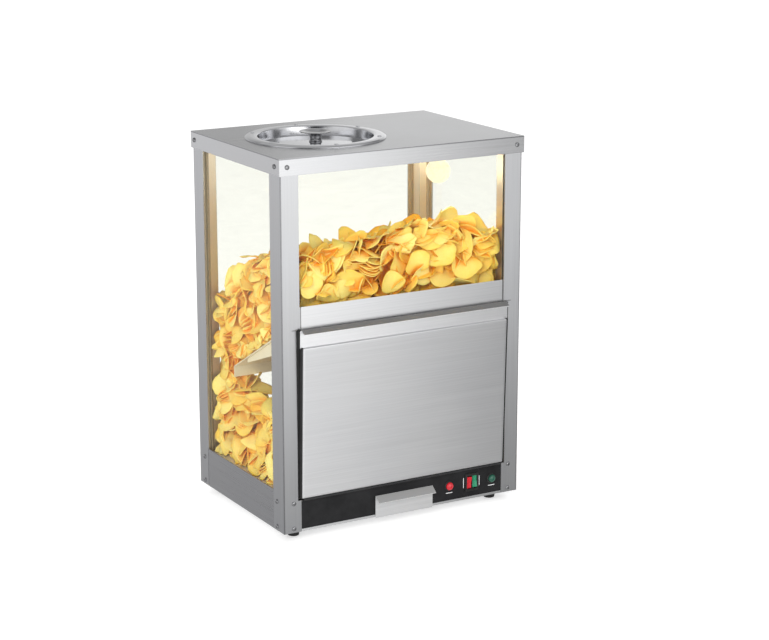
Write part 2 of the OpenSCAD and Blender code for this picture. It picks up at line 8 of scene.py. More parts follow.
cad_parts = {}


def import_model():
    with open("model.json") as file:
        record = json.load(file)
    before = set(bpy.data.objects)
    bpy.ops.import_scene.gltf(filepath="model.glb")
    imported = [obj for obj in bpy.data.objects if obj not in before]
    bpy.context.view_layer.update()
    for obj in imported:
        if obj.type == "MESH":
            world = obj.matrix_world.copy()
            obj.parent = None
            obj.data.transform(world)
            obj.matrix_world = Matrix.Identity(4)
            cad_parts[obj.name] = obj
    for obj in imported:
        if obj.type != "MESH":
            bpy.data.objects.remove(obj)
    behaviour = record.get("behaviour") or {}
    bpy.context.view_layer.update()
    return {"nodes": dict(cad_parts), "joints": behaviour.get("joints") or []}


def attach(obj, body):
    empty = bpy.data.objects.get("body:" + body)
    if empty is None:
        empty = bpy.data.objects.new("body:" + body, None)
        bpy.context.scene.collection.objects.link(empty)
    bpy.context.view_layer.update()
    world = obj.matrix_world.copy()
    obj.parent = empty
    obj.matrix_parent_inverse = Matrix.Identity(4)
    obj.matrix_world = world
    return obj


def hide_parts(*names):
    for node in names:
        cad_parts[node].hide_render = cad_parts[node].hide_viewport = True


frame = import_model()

NODES = frame["nodes"]
scene = bpy.context.scene

# Body millimetres: s from the left face, t from the front face, z from the
# underside of the base. The middle in t comes from the hinge's own place.
W, D, H, FOOT = 452.0, 318.0, 620.0, 17.0
HINGE = next(j for j in frame["joints"] if j["name"] == "door_hinge")["pos_m"]
Y_MID = -1.9 - HINGE[1] * 1000
LEAN = math.radians(1.76)
LID_S, LID_T = 148.5, 159.0
SHELF_K = math.tan(math.radians(29))


def pt(s, t, z):
    return Vector(((s - W / 2) / 1000, (t - Y_MID) / 1000, (z + FOOT) / 1000))


def arr(a):
    a = np.asarray(a, float)
    return (a - np.array([W / 2, Y_MID, -FOOT])) / 1000


def door_pt(x, y, z):
    c, s = math.cos(LEAN), math.sin(LEAN)
    return pt(x, -1.9 + y * c - z * s, 54.6 + y * s + z * c)


# ------------------------------------------------------------------ materials
def new_mat(name):
    m = bpy.data.materials.new(name)
    m.use_nodes = True
    m.node_tree.nodes.clear()
    return m, m.node_tree


def node(nt, kind, **kw):
    n = nt.nodes.new(kind)
    for k, v in kw.items():
        setattr(n, k, v)
    return n


def link(nt, a, b):
    nt.links.new(a, b)


def coords(nt, scale=(1, 1, 1), rot=(0, 0, 0)):
    tc = node(nt, "ShaderNodeTexCoord")
    mp = node(nt, "ShaderNodeMapping")
    mp.inputs["Scale"].default_value = scale
    mp.inputs["Rotation"].default_value = rot
    link(nt, tc.outputs["Object"], mp.inputs["Vector"])
    return mp.outputs["Vector"]


def noise_tex(nt, vec, scale, detail=3.0, rough=0.5, dist=0.0):
    n = node(nt, "ShaderNodeTexNoise")
    n.inputs["Scale"].default_value = scale
    n.inputs["Detail"].default_value = detail
    n.inputs["Roughness"].default_value = rough
    n.inputs["Distortion"].default_value = dist
    link(nt, vec, n.inputs["Vector"])
    return n.outputs["Fac"]


def ramp(nt, fac, stops):
    r = node(nt, "ShaderNodeValToRGB")
    e = r.color_ramp.elements
    while len(e) > 1:
        e.remove(e[0])
    e[0].position, e[0].color = stops[0][0], (*stops[0][1], 1)
    for p, c in stops[1:]:
        x = e.new(p)
        x.color = (*c, 1)
    link(nt, fac, r.inputs["Fac"])
    return r.outputs["Color"]


def maprange(nt, v, a, b, c, d):
    m = node(nt, "ShaderNodeMapRange")
    for k, x in (("From Min", a), ("From Max", b), ("To Min", c), ("To Max", d)):
        m.inputs[k].default_value = x
    link(nt, v, m.inputs["Value"])
    return m.outputs["Result"]


def mixc(nt, fac, a, b, mode="MIX"):
    m = node(nt, "ShaderNodeMix", data_type="RGBA", blend_type=mode)
    for sock, v in ((m.inputs[0], fac), (m.inputs[6], a), (m.inputs[7], b)):
        if isinstance(v, (int, float)):
            sock.default_value = v
        elif isinstance(v, tuple):
            sock.default_value = (*v, 1)
        else:
            link(nt, v, sock)
    return m.outputs[2]


def math_node(nt, op, a, b=0.0, clamp=False):
    m = node(nt, "ShaderNodeMath", operation=op, use_clamp=clamp)
    for i, v in enumerate((a, b)):
        if isinstance(v, (int, float)):
            m.inputs[i].default_value = v
        else:
            link(nt, v, m.inputs[i])
    return m.outputs[0]


def bump(nt, height, strength, distance):
    b = node(nt, "ShaderNodeBump")
    b.inputs["Strength"].default_value = strength
    b.inputs["Distance"].default_value = distance
    link(nt, height, b.inputs["Height"])
    return b.outputs["Normal"]


def principled(nt, **kw):
    p = node(nt, "ShaderNodeBsdfPrincipled")
    out = node(nt, "ShaderNodeOutputMaterial")
    link(nt, p.outputs[0], out.inputs["Surface"])
    for k, v in kw.items():
        sock = p.inputs[k.replace("_", " ")]
        if isinstance(v, (int, float)):
            sock.default_value = v
        elif isinstance(v, tuple):
            sock.default_value = (*v, 1) if len(v) == 3 and sock.type == "RGBA" else v
        else:
            link(nt, v, sock)
    return p


def edge_mask(nt, radius):
    """Near 1 along outer edges and folds, 0 on the flats."""
    bv = node(nt, "ShaderNodeBevel", samples=4)
    bv.inputs["Radius"].default_value = radius
    geo = node(nt, "ShaderNodeNewGeometry")
    dot = node(nt, "ShaderNodeVectorMath", operation="DOT_PRODUCT")
    link(nt, bv.outputs[0], dot.inputs[0])
    link(nt, geo.outputs["Normal"], dot.inputs[1])
    return maprange(nt, dot.outputs["Value"], 0.997, 0.86, 0.0, 1.0)


def inside_mask(nt):
    """1 on faces more than a sheet's thickness in from the cabinet's outer faces, 0 outside."""
    tc = node(nt, "ShaderNodeTexCoord")
    sep = node(nt, "ShaderNodeSeparateXYZ")
    link(nt, tc.outputs["Object"], sep.inputs[0])
    lo, hi = pt(1.0, 1.0, 55.0), pt(W - 1.0, D - 1.0, H - 1.0)
    out = None
    for i in (0, 1, 2):
        for op, lim in (("GREATER_THAN", lo[i]), ("LESS_THAN", hi[i])):
            q = math_node(nt, op, sep.outputs[i], lim)
            out = q if out is None else math_node(nt, "MULTIPLY", out, q)
    return out


def brushed(name, axis, base=(0.60, 0.605, 0.615), rough=0.27, aniso=0.55, turn=0.25, streak=1.0, edge_wear_and_shade=True, warm=False, metal=1.0,
            fold=1.18, rise=None, painted_top_shade=0.0, fold_shade_line=None):
    """Brushed sheet: fine streaks along one axis, cloudy handling marks; edges lighter as wear when fold is above 1,
    folds darker as painted shade when it is below 1.
    With warm, the sheet inside the cabinet is made lighter and warmer: painted warm light. rise is (z low, z high, gain
    at z low): painted light, lighter towards the bottom. Upward faces can be darkened, and a dark line drawn along a
    fold: both painted shade."""
    m, nt = new_mat(name)
    scale = [620.0, 620.0, 620.0]
    scale["xyz".index(axis)] = 5.0
    fine = noise_tex(nt, coords(nt, tuple(scale)), 1.0, 4, 0.65)
    scale2 = [140.0, 140.0, 140.0]
    scale2["xyz".index(axis)] = 2.2
    mid = noise_tex(nt, coords(nt, tuple(scale2)), 1.0, 3, 0.55)
    cloud = noise_tex(nt, coords(nt), 7.0, 4, 0.6, 0.3)
    k = math_node(nt, "ADD", math_node(nt, "MULTIPLY", fine, 0.82), math_node(nt, "MULTIPLY", mid, 0.18))
    dark = tuple(c * (1 - 0.07 * streak) for c in base)
    light = tuple(min(1, c * (1 + 0.05 * streak)) for c in base)
    col = ramp(nt, k, [(0.30, dark), (0.70, light)])
    tint = ramp(nt, cloud, [(0.30, (0.975, 0.978, 0.985)), (0.70, (1.0, 0.998, 0.994))])
    col = mixc(nt, 1.0, col, tint, "MULTIPLY")
    geo = node(nt, "ShaderNodeNewGeometry")
    # Painted light: the sheet is made lighter towards the bottom.
    if rise:
        tz = node(nt, "ShaderNodeSeparateXYZ")
        link(nt, node(nt, "ShaderNodeTexCoord").outputs["Object"], tz.inputs[0])
        g = maprange(nt, tz.outputs[2], rise[0], rise[1], 1.0, 0.0)
        col = mixc(nt, g, col, mixc(nt, 1.0, col, (rise[2], rise[2], rise[2]), "MULTIPLY"))
    # Painted shade: upward faces are darkened towards a flat grey and made less metallic.
    if painted_top_shade:
        nz = node(nt, "ShaderNodeSeparateXYZ")
        link(nt, geo.outputs["Normal"], nz.inputs[0])
        up = maprange(nt, nz.outputs[2], 0.2, 0.4, 0.0, 1.0)
        col = mixc(nt, up, col, (painted_top_shade,) * 3)
        metal = math_node(nt, "SUBTRACT", metal, math_node(nt, "MULTIPLY", up, 0.75))
    # Painted shade: a dark line along the roof's fold into the skirts, or down the cabinet's outer corners on the
    # posts.
    if fold_shade_line:
        tcc = node(nt, "ShaderNodeSeparateXYZ")
        link(nt, node(nt, "ShaderNodeTexCoord").outputs["Object"], tcc.inputs[0])
        if fold_shade_line == "roof":
            ns = node(nt, "ShaderNodeSeparateXYZ")
            link(nt, geo.outputs["Normal"], ns.inputs[0])
            line = math_node(nt, "MULTIPLY", maprange(nt, tcc.outputs[2], pt(0, 0, H - 2.3)[2], pt(0, 0, H - 1.5)[2], 0.0, 1.0),
                             math_node(nt, "LESS_THAN", ns.outputs[2], 0.9))
        else:
            mx, my = pt(W, D / 2, 0)[0], pt(0, D / 2, 0)[1]
            qx = math_node(nt, "ABSOLUTE", tcc.outputs[0])
            qy = math_node(nt, "ABSOLUTE", math_node(nt, "SUBTRACT", tcc.outputs[1], my))
            line = math_node(nt, "MULTIPLY", math_node(nt, "GREATER_THAN", qx, mx - 0.0016), math_node(nt, "GREATER_THAN", qy, D / 2000 - 0.0016))
        col = mixc(nt, line, col, mixc(nt, 1.0, col, (0.42, 0.42, 0.43), "MULTIPLY"))
    # Painted warm light: with warm, faces inside the cabinet are made lighter and warmer, for the lamp's glow and the
    # crisps' reflection.
    inner = inside_mask(nt) if warm else None
    if warm:
        col = mixc(nt, inner, col, mixc(nt, 1.0, col, (1.66, 1.44, 1.12), "MULTIPLY"))
    r1 = maprange(nt, k, 0.3, 0.7, rough - 0.03, rough + 0.05)
    r2 = maprange(nt, cloud, 0.35, 0.75, 0.0, 0.03)
    r = math_node(nt, "ADD", r1, r2)
    # Edges: lighter as wear when fold is above 1; darker when it is below 1, which is painted shade in the folds.
    if edge_wear_and_shade:
        e = edge_mask(nt, 0.0012 if fold > 1 else 0.002)
        if fold < 1:
            e = math_node(nt, "MULTIPLY", e, 1.6, True)
        e = math_node(nt, "MULTIPLY", e, maprange(nt, mid, 0.3, 0.7, 0.35 if fold > 1 else 0.75, 1.0))
        col = mixc(nt, e, col, tuple(min(1, c * fold) for c in base))
        r = math_node(nt, "SUBTRACT", r, math_node(nt, "MULTIPLY", e, 0.08), True)
    if warm:
        r = math_node(nt, "MAXIMUM", r, math_node(nt, "MULTIPLY", inner, 0.5))
    n = bump(nt, k, 0.14 * streak, 0.00005)
    p = principled(nt, Base_Color=col, Metallic=metal, Roughness=r, Anisotropic=aniso, Anisotropic_Rotation=turn, Normal=n)
    # The grain lies level along every upright face.
    level = node(nt, "ShaderNodeVectorMath", operation="CROSS_PRODUCT")
    link(nt, geo.outputs["Normal"], level.inputs[0])
    level.inputs[1].default_value = (0.02, 0.06, 1.0)
    link(nt, level.outputs[0], p.inputs["Tangent"])
    return m


def chrome(name, base=(0.78, 0.785, 0.80), rough=0.07, spin=True):
    """Spun bright steel: faint turning rings round the lid's centre, and haze."""
    m, nt = new_mat(name)
    tc = node(nt, "ShaderNodeTexCoord")
    sub = node(nt, "ShaderNodeVectorMath", operation="SUBTRACT")
    sub.inputs[1].default_value = tuple(pt(LID_S, LID_T, 0))
    link(nt, tc.outputs["Object"], sub.inputs[0])
    sep = node(nt, "ShaderNodeSeparateXYZ")
    link(nt, sub.outputs[0], sep.inputs[0])
    rr = math_node(nt, "SQRT", math_node(nt, "ADD", math_node(nt, "MULTIPLY", sep.outputs[0], sep.outputs[0]),
                                         math_node(nt, "MULTIPLY", sep.outputs[1], sep.outputs[1])))
    comb = node(nt, "ShaderNodeCombineXYZ")
    link(nt, rr, comb.inputs[0])
    link(nt, sep.outputs[2], comb.inputs[2])
    rings = noise_tex(nt, comb.outputs[0], 900.0, 3, 0.6)
    haze = noise_tex(nt, coords(nt), 22.0, 4, 0.6)
    col = ramp(nt, rings, [(0.3, tuple(c * 0.95 for c in base)), (0.7, tuple(min(1, c * 1.04) for c in base))])
    col = mixc(nt, 1.0, col, ramp(nt, haze, [(0.3, (0.96, 0.96, 0.97)), (0.7, (1, 1, 1))]), "MULTIPLY")
    e = edge_mask(nt, 0.0008)
    col = mixc(nt, math_node(nt, "MULTIPLY", e, 0.6), col, (0.93, 0.93, 0.94))
    r = math_node(nt, "ADD", maprange(nt, rings, 0.3, 0.7, rough, rough + 0.05), maprange(nt, haze, 0.4, 0.8, 0, 0.05))
    n = bump(nt, rings, 0.12 if spin else 0.03, 0.00005)
    principled(nt, Base_Color=col, Metallic=1.0, Roughness=r, Normal=n)
    return m


def plastic(name, base, rough=0.35, var=0.12, grain=900.0, coat=0.0, bump_s=0.15, spec=0.5, sss=0.0, trans=0.0):
    """Moulded plastic, rubber or paint: fine grain, dust, scuffed edges."""
    m, nt = new_mat(name)
    g = noise_tex(nt, coords(nt), grain, 3, 0.6)
    c = noise_tex(nt, coords(nt), 35.0, 4, 0.6)
    lo = tuple(x * (1 - var) for x in base)
    hi = tuple(min(1, x * (1 + var) + 0.004) for x in base)
    col = ramp(nt, math_node(nt, "ADD", math_node(nt, "MULTIPLY", g, 0.4), math_node(nt, "MULTIPLY", c, 0.6)),
               [(0.35, lo), (0.65, hi)])
    e = edge_mask(nt, 0.0006)
    col = mixc(nt, math_node(nt, "MULTIPLY", e, 0.35), col, tuple(min(1, x * 1.6 + 0.05) for x in base))
    r = math_node(nt, "ADD", maprange(nt, c, 0.3, 0.7, rough - 0.05, rough + 0.08), maprange(nt, g, 0.3, 0.7, 0, 0.05))
    n = bump(nt, g, bump_s, 0.00008)
    p = principled(nt, Base_Color=col, Roughness=r, Normal=n)
    p.inputs["Specular IOR Level"].default_value = spec
    p.inputs["Coat Weight"].default_value = coat
    p.inputs["Subsurface Weight"].default_value = sss
    if sss:
        p.inputs["Subsurface Radius"].default_value = (0.004, 0.002, 0.002)
        p.inputs["Subsurface Scale"].default_value = 1.0
    p.inputs["Transmission Weight"].default_value = trans
    return m


def pane_glass(name, tint):
    """Flat clear glass: lets light straight through, with Fresnel gloss and faint wiped smears."""
    m, nt = new_mat(name)
    out = node(nt, "ShaderNodeOutputMaterial")
    smear = noise_tex(nt, coords(nt, (3, 3, 14)), 6.0, 5, 0.65, 1.2)
    spots = noise_tex(nt, coords(nt), 160.0, 3, 0.7)
    col = ramp(nt, smear, [(0.3, tint), (0.75, tuple(c * 0.985 for c in tint))])
    tr = node(nt, "ShaderNodeBsdfTransparent")
    link(nt, col, tr.inputs["Color"])
    gl = node(nt, "ShaderNodeBsdfGlossy")
    gl.inputs["Color"].default_value = (0.9, 0.92, 0.93, 1)
    link(nt, maprange(nt, smear, 0.3, 0.7, 0.01, 0.07), gl.inputs["Roughness"])
    df = node(nt, "ShaderNodeBsdfDiffuse")
    df.inputs["Color"].default_value = (0.95, 0.94, 0.88, 1)
    fr = node(nt, "ShaderNodeFresnel")
    fr.inputs["IOR"].default_value = 1.5
    m1 = node(nt, "ShaderNodeMixShader")
    link(nt, math_node(nt, "MULTIPLY", fr.outputs[0], 0.09), m1.inputs[0])
    link(nt, tr.outputs[0], m1.inputs[1])
    link(nt, gl.outputs[0], m1.inputs[2])
    m2 = node(nt, "ShaderNodeMixShader")
    dust = math_node(nt, "MULTIPLY", maprange(nt, smear, 0.4, 0.8, 0.0005, 0.003), maprange(nt, spots, 0.3, 0.7, 0.5, 1.4))
    link(nt, dust, m2.inputs[0])
    link(nt, m1.outputs[0], m2.inputs[1])
    link(nt, df.outputs[0], m2.inputs[2])
    link(nt, m2.outputs[0], out.inputs["Surface"])
    return m


def chip_mat(name, dark=False):
    """Fried crisp: pale gold, toasted rims and patches, blistered, slightly see-through."""
    m, nt = new_mat(name)
    att = node(nt, "ShaderNodeAttribute", attribute_name="tone")
    tone = att.outputs["Fac"]
    rim = node(nt, "ShaderNodeAttribute", attribute_name="rim").outputs["Fac"]
    big = noise_tex(nt, coords(nt), 38.0, 4, 0.6, 0.4)
    fine = noise_tex(nt, coords(nt), 420.0, 4, 0.65)
    blister = node(nt, "ShaderNodeTexVoronoi", feature="SMOOTH_F1")
    blister.inputs["Scale"].default_value = 170.0
    blister.inputs["Smoothness"].default_value = 0.6
    link(nt, coords(nt), blister.inputs["Vector"])
    k = math_node(nt, "ADD", math_node(nt, "MULTIPLY", tone, 0.62),
                  math_node(nt, "MULTIPLY", big, 0.30))
    k = math_node(nt, "ADD", k, math_node(nt, "MULTIPLY", fine, 0.10))
    k = math_node(nt, "ADD", k, math_node(nt, "MULTIPLY", rim, 0.16))
    stops = [(0.16, (1.0, 0.86, 0.33)), (0.45, (1.0, 0.78, 0.215)), (0.68, (0.96, 0.62, 0.10)),
             (0.87, (0.82, 0.39, 0.032)), (1.0, (0.55, 0.18, 0.015))]
    # Painted shade: the dark variant, for the heaps' hidden core, is darker and more orange in every tone.
    if dark:
        stops = [(p, (c[0] * 0.90, c[1] * 0.50, c[2] * 0.25)) for p, c in stops]
    col = ramp(nt, k, stops)
    # Painted shade: where neighbouring crisps close in, the colour is darkened and turned orange.
    ao = node(nt, "ShaderNodeAmbientOcclusion", samples=4, only_local=True)
    ao.inputs["Distance"].default_value = 0.03
    shade = maprange(nt, ao.outputs["AO"], 0.12, 0.78, 1.0, 0.0)
    col = mixc(nt, shade, col, mixc(nt, 1.0, col, (0.99, 0.60, 0.22), "MULTIPLY"))
    speck = maprange(nt, fine, 0.70, 0.80, 0.0, 0.35)
    col = mixc(nt, speck, col, (0.62, 0.24, 0.03))
    h = math_node(nt, "ADD", math_node(nt, "MULTIPLY", blister.outputs["Distance"], 0.7), math_node(nt, "MULTIPLY", fine, 0.5))
    n = bump(nt, h, 0.45, 0.0011)
    r = maprange(nt, fine, 0.3, 0.7, 0.50, 0.66)
    p = principled(nt, Base_Color=col, Roughness=r, Normal=n)
    p.inputs["Subsurface Weight"].default_value = 0.0 if dark else 0.22
    p.inputs["Subsurface Radius"].default_value = (0.006, 0.0035, 0.0012)
    p.inputs["Subsurface Scale"].default_value = 1.0
    p.inputs["Specular IOR Level"].default_value = 0.2
    return m


def lamp_mat(name):
    """Frosted globe, lit from within: paler in the middle of each noise patch, warm."""
    m, nt = new_mat(name)
    g = noise_tex(nt, coords(nt), 120.0, 3, 0.5)
    col = ramp(nt, g, [(0.3, (1.0, 0.95, 0.68)), (0.7, (1.0, 0.975, 0.75))])
    p = principled(nt, Base_Color=(0.30, 0.28, 0.20), Roughness=maprange(nt, g, 0.3, 0.7, 0.22, 0.34), Emission_Color=col)
    p.inputs["Emission Strength"].default_value = 0.95
    return m


M = {}
# Painted light and shade: the same brushed stainless steel gets a different base brightness per set of faces, lightest
# on the flap and darkest on the side faces, for how the light falls on each. The grain axis differs for real.
M["steel_x"] = brushed("sheet_brushed_x", "x", base=(0.74, 0.744, 0.75), warm=True, aniso=0.65, rough=0.30)
M["steel_pull"] = brushed("sheet_brushed_pull", "x", base=(0.80, 0.802, 0.806), aniso=0.4, rough=0.34, metal=0.85, painted_top_shade=0.27)
M["steel_flap"] = brushed("sheet_brushed_flap", "x", base=(0.86, 0.863, 0.87), aniso=0.65, rough=0.30, painted_top_shade=0.17)
M["steel_pan"] = brushed("sheet_brushed_pan", "x", base=(0.705, 0.708, 0.715), aniso=0.7, rough=0.33, rise=(0.075, 0.30, 1.15))
M["steel_z"] = brushed("sheet_brushed_z", "z", base=(0.55, 0.555, 0.565), aniso=0.85, rough=0.32, turn=0.0, warm=True, fold=0.8, fold_shade_line="post")
M["steel_y"] = brushed("sheet_brushed_y", "y", base=(0.40, 0.402, 0.41), aniso=0.5, warm=True, fold=0.8)
M["steel_roof"] = brushed("sheet_brushed_roof", "x", base=(0.535, 0.538, 0.545), aniso=0.0, rough=0.22, warm=True, fold=0.8, fold_shade_line="roof")
# Painted warm light: the shelf, brackets, bin floor and lamp bracket are sheet steel given a tan, mostly matt colour
# for the lamp's warm light inside.
M["steel_in"] = brushed("sheet_inner", "x", base=(0.86, 0.77, 0.58), rough=0.45, aniso=0.2, edge_wear_and_shade=False, metal=0.12)
# Painted light and shade: the glass retainers are steel given a dark tan colour for the warm light and shade inside the
# cabinet.
M["retainer"] = brushed("sheet_retainer", "x", base=(0.44, 0.37, 0.28), rough=0.45, aniso=0.2, edge_wear_and_shade=False, metal=0.6)
M["screw"] = brushed("screw_steel", "z", base=(0.36, 0.362, 0.37), rough=0.17, aniso=0.0, streak=0.5, edge_wear_and_shade=False)
M["chrome"] = chrome("spun_chrome")
M["knob"] = chrome("knob_chrome", (0.42, 0.422, 0.43), 0.10)
M["glass"] = pane_glass("tempered_pane", (0.958, 0.960, 0.938))
M["lamp"] = lamp_mat("lamp_opal")
M["ceramic"] = plastic("glazed_ceramic", (0.80, 0.77, 0.70), 0.18, 0.04, 500, coat=0.3)
M["heater"] = brushed("heater_sheath", "y", base=(0.20, 0.18, 0.17), rough=0.5, aniso=0.0)
M["black_panel"] = plastic("black_satin_paint", (0.0115, 0.0115, 0.0125), 0.36, 0.25, 1400, bump_s=0.12, spec=0.16)
M["hinge"] = plastic("black_oxide", (0.010, 0.010, 0.011), 0.42, 0.3, 900, bump_s=0.2)
M["black_plastic"] = plastic("black_moulding", (0.010, 0.010, 0.010), 0.25, 0.2, 800)
M["white_plastic"] = plastic("white_moulding", (0.74, 0.72, 0.66), 0.4, 0.05, 700)
M["cable"] = plastic("silicone_jacket", (0.70, 0.66, 0.56), 0.5, 0.06, 600)
M["red"] = plastic("red_translucent", (0.50, 0.008, 0.018), 0.16, 0.12, 500, coat=0.5, bump_s=0.04, sss=0.15)
M["green"] = plastic("green_translucent", (0.004, 0.20, 0.095), 0.16, 0.12, 500, coat=0.5, bump_s=0.04, sss=0.15)
M["green_dark"] = plastic("green_lens", (0.004, 0.075, 0.045), 0.14, 0.12, 500, coat=0.5, bump_s=0.04)
M["rubber"] = plastic("black_rubber", (0.012, 0.012, 0.012), 0.62, 0.3, 1100, bump_s=0.4, spec=0.35)
M["magnet"] = plastic("ferrite", (0.03, 0.03, 0.032), 0.4, 0.2, 900)
M["brass"] = brushed("lamp_cap_metal", "z", base=(0.72, 0.62, 0.38), rough=0.28, aniso=0.0, edge_wear_and_shade=False)
M["print"] = plastic("white_print", (0.62, 0.63, 0.64), 0.5, 0.06, 1500)
M["chip"] = chip_mat("crisp_gold")
M["chip_core"] = chip_mat("crisp_inner", dark=True)

BY_NODE = {
    "steel_flap": ["door_inner"], "steel_x": ["front_rail", "rear_lower_panel", "base_pan"], "steel_pull": ["tray_handle"],
    "steel_pan": ["door_outer"], "steel_roof": ["roof_cap"],
    "steel_z": ["front_left_post", "front_right_post", "rear_left_post", "rear_right_post"],
    "steel_y": ["left_lower_panel", "right_lower_panel", "crumb_tray", "tray_runners", "bay_walls"],
    "retainer": ["glass_retainers"], "steel_in": ["deflector_shelf", "shelf_brackets", "bin_floor", "heater_saddles", "lamp_bracket"],
    "screw": ["foot_screws", "cap_screws", "post_screws", "knob_screw"],
    "chrome": ["fill_collar", "collar_ledge", "collar_rivets", "fill_lid", "lid_knob"],
    "glass": ["front_glass", "left_glass", "right_glass", "rear_glass"],
    "lamp": ["lamp_bulb"], "ceramic": ["lamp_holder"], "heater": ["heater_elements"],
    "black_panel": ["control_panel"],
    "hinge": ["hinge_fixed_leaf", "hinge_moving_leaf", "hinge_pin"],
    "black_plastic": ["thermostat", "switch_housing", "power_inlet", "indicator_bezels"],
    "white_plastic": ["terminal_block"], "cable": ["lamp_cable"],
    "red": ["red_rocker", "red_lens"], "green": ["green_rocker"], "green_dark": ["green_lens"],
    "rubber": ["feet", "door_seal", "door_gasket"], "magnet": ["catch_magnets"],
}
for key, names in BY_NODE.items():
    for n in names:
        o = NODES[n]
        o.data.materials.clear()
        o.data.materials.append(M[key])

BEVEL = {"front_rail": 0.45, "door_inner": 0.45, "roof_cap": 0.55, "rear_lower_panel": 0.4, "tray_handle": 0.3,
         "base_pan": 0.3, "front_left_post": 0.5, "front_right_post": 0.5, "rear_left_post": 0.5,
         "rear_right_post": 0.5, "left_lower_panel": 0.4, "right_lower_panel": 0.4, "crumb_tray": 0.25,
         "control_panel": 0.25, "switch_housing": 0.35, "indicator_bezels": 0.2, "power_inlet": 0.35,
         "front_glass": 0.4, "left_glass": 0.4, "right_glass": 0.4, "rear_glass": 0.4,
         "deflector_shelf": 0.3, "shelf_brackets": 0.3, "glass_retainers": 0.25, "hinge_moving_leaf": 0.15,
         "door_gasket": 0.4, "terminal_block": 0.5, "lamp_bracket": 0.2}
for n, w in BEVEL.items():
    o = NODES[n]
    wd = o.modifiers.new("weld", "WELD")
    wd.merge_threshold = 0.000005
    dc = o.modifiers.new("faces", "DECIMATE")
    dc.decimate_type = "DISSOLVE"
    dc.angle_limit = math.radians(0.6)
    b = o.modifiers.new("folds", "BEVEL")
    b.width = w / 1000
    b.segments = 2
    b.limit_method = "ANGLE"
    b.angle_limit = math.radians(35)
    b.harden_normals = False
    b.use_clamp_overlap = True
    b.miter_outer = "MITER_SHARP"
    wn = o.modifiers.new("flats", "WEIGHTED_NORMAL")
    wn.mode = "FACE_AREA"
    wn.weight = 100
    wn.keep_sharp = True


# ------------------------------------------------------------------ mesh tools
def obj_from(name, verts, faces, mat, body, replaces=(), smooth=True, sharp=35):
    me = bpy.data.meshes.new(name)
    me.from_pydata([tuple(v) for v in verts], [], faces)
    me.validate()
    me.materials.append(M[mat])
    o = bpy.data.objects.new(name, me)
    scene.collection.objects.link(o)
    bm = bmesh.new()
    bm.from_mesh(me)
    bmesh.ops.remove_doubles(bm, verts=bm.verts, dist=1e-7)
    bmesh.ops.recalc_face_normals(bm, faces=bm.faces)
    if smooth:
        for f in bm.faces:
            f.smooth = True
        lim = math.radians(sharp)
        for e in bm.edges:
            if len(e.link_faces) == 2 and e.calc_face_angle(0) > lim:
                e.smooth = False
    bm.to_mesh(me)
    bm.free()
    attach(o, body)
    if replaces:
        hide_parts(*replaces)
    return o


def fillet(points, radii, n=5):
    """Rounds the corners of a closed outline of (a, b) points."""
    out = []
    m = len(points)
    for i, p in enumerate(points):
        r = radii[i] if isinstance(radii, (list, tuple)) else radii
        p = Vector(p)
        a, b = Vector(points[i - 1]) - p, Vector(points[(i + 1) % m]) - p
        if r <= 0 or a.length < 1e-9 or b.length < 1e-9:
            out.append(tuple(p))
            continue
        ang = a.angle(b)
        cut = min(r / math.tan(ang / 2), a.length * 0.49, b.length * 0.49)
        rr = cut * math.tan(ang / 2)
        p1, p2 = p + a.normalized() * cut, p + b.normalized() * cut
        bis = (a.normalized() + b.normalized())
        if bis.length < 1e-6:
            out.append(tuple(p))
            continue
        c = p + bis.normalized() * (rr / math.sin(ang / 2))
        v1, v2 = p1 - c, p2 - c
        tot = v1.angle(v2)
        cross = v1.x * v2.y - v1.y * v2.x
        for k in range(n + 1):
            th = tot * k / n * (1 if cross > 0 else -1)
            out.append((c.x + v1.x * math.cos(th) - v1.y * math.sin(th), c.y + v1.x * math.sin(th) + v1.y * math.cos(th)))
    return out


def lathe(profile, place, segs=96, closed=True, ripple=None):
    """Turns a closed (r, h) outline about the local z axis; place maps local (x, y, z) to the row frame."""
    verts, faces = [], []
    rings = []
    for r, h in profile:
        if r < 1e-6:
            rings.append([len(verts)])
            verts.append(place(0, 0, h))
        else:
            idx = []
            for k in range(segs):
                a = 2 * math.pi * k / segs
                rr, hh = (r, h) if ripple is None else ripple(r, h, a)
                idx.append(len(verts))
                verts.append(place(rr * math.cos(a), rr * math.sin(a), hh))
            rings.append(idx)
    pairs = list(zip(rings, rings[1:] + (rings[:1] if closed else [])))
    if not closed:
        pairs = list(zip(rings[:-1], rings[1:]))
    for a, b in pairs:
        if len(a) == 1 and len(b) == 1:
            continue
        for k in range(segs):
            j = (k + 1) % segs
            if len(a) == 1:
                faces.append((a[0], b[k], b[j]))
            elif len(b) == 1:
                faces.append((a[k], b[0], a[j]))
            else:
                faces.append((a[k], b[k], b[j], a[j]))
    return verts, faces


def loops_mesh(loops, cap0=True, cap1=True):
    """Joins closed loops of equal length with quads and caps the ends."""
    verts, faces = [], []
    n = len(loops[0])
    for lp in loops:
        verts += lp
    for i in range(len(loops) - 1):
        for k in range(n):
            j = (k + 1) % n
            faces.append((i * n + k, i * n + j, (i + 1) * n + j, (i + 1) * n + k))
    if cap0:
        faces.append(tuple(reversed(range(n))))
    if cap1:
        faces.append(tuple(range((len(loops) - 1) * n, len(loops) * n)))
    return verts, faces


def round_rect(x0, x1, z0, z1, r, n=6):
    return fillet([(x0, z0), (x1, z0), (x1, z1), (x0, z1)], r, n)


def inset_rect(x0, x1, z0, z1, d, r, n=6):
    return round_rect(x0 + d, x1 - d, z0 + d, z1 - d, max(r - d, 0.25), n)


def join(parts):
    verts, faces = [], []
    for v, f in parts:
        k = len(verts)
        verts += list(v)
        faces += [tuple(i + k for i in q) for q in f]
    return verts, faces


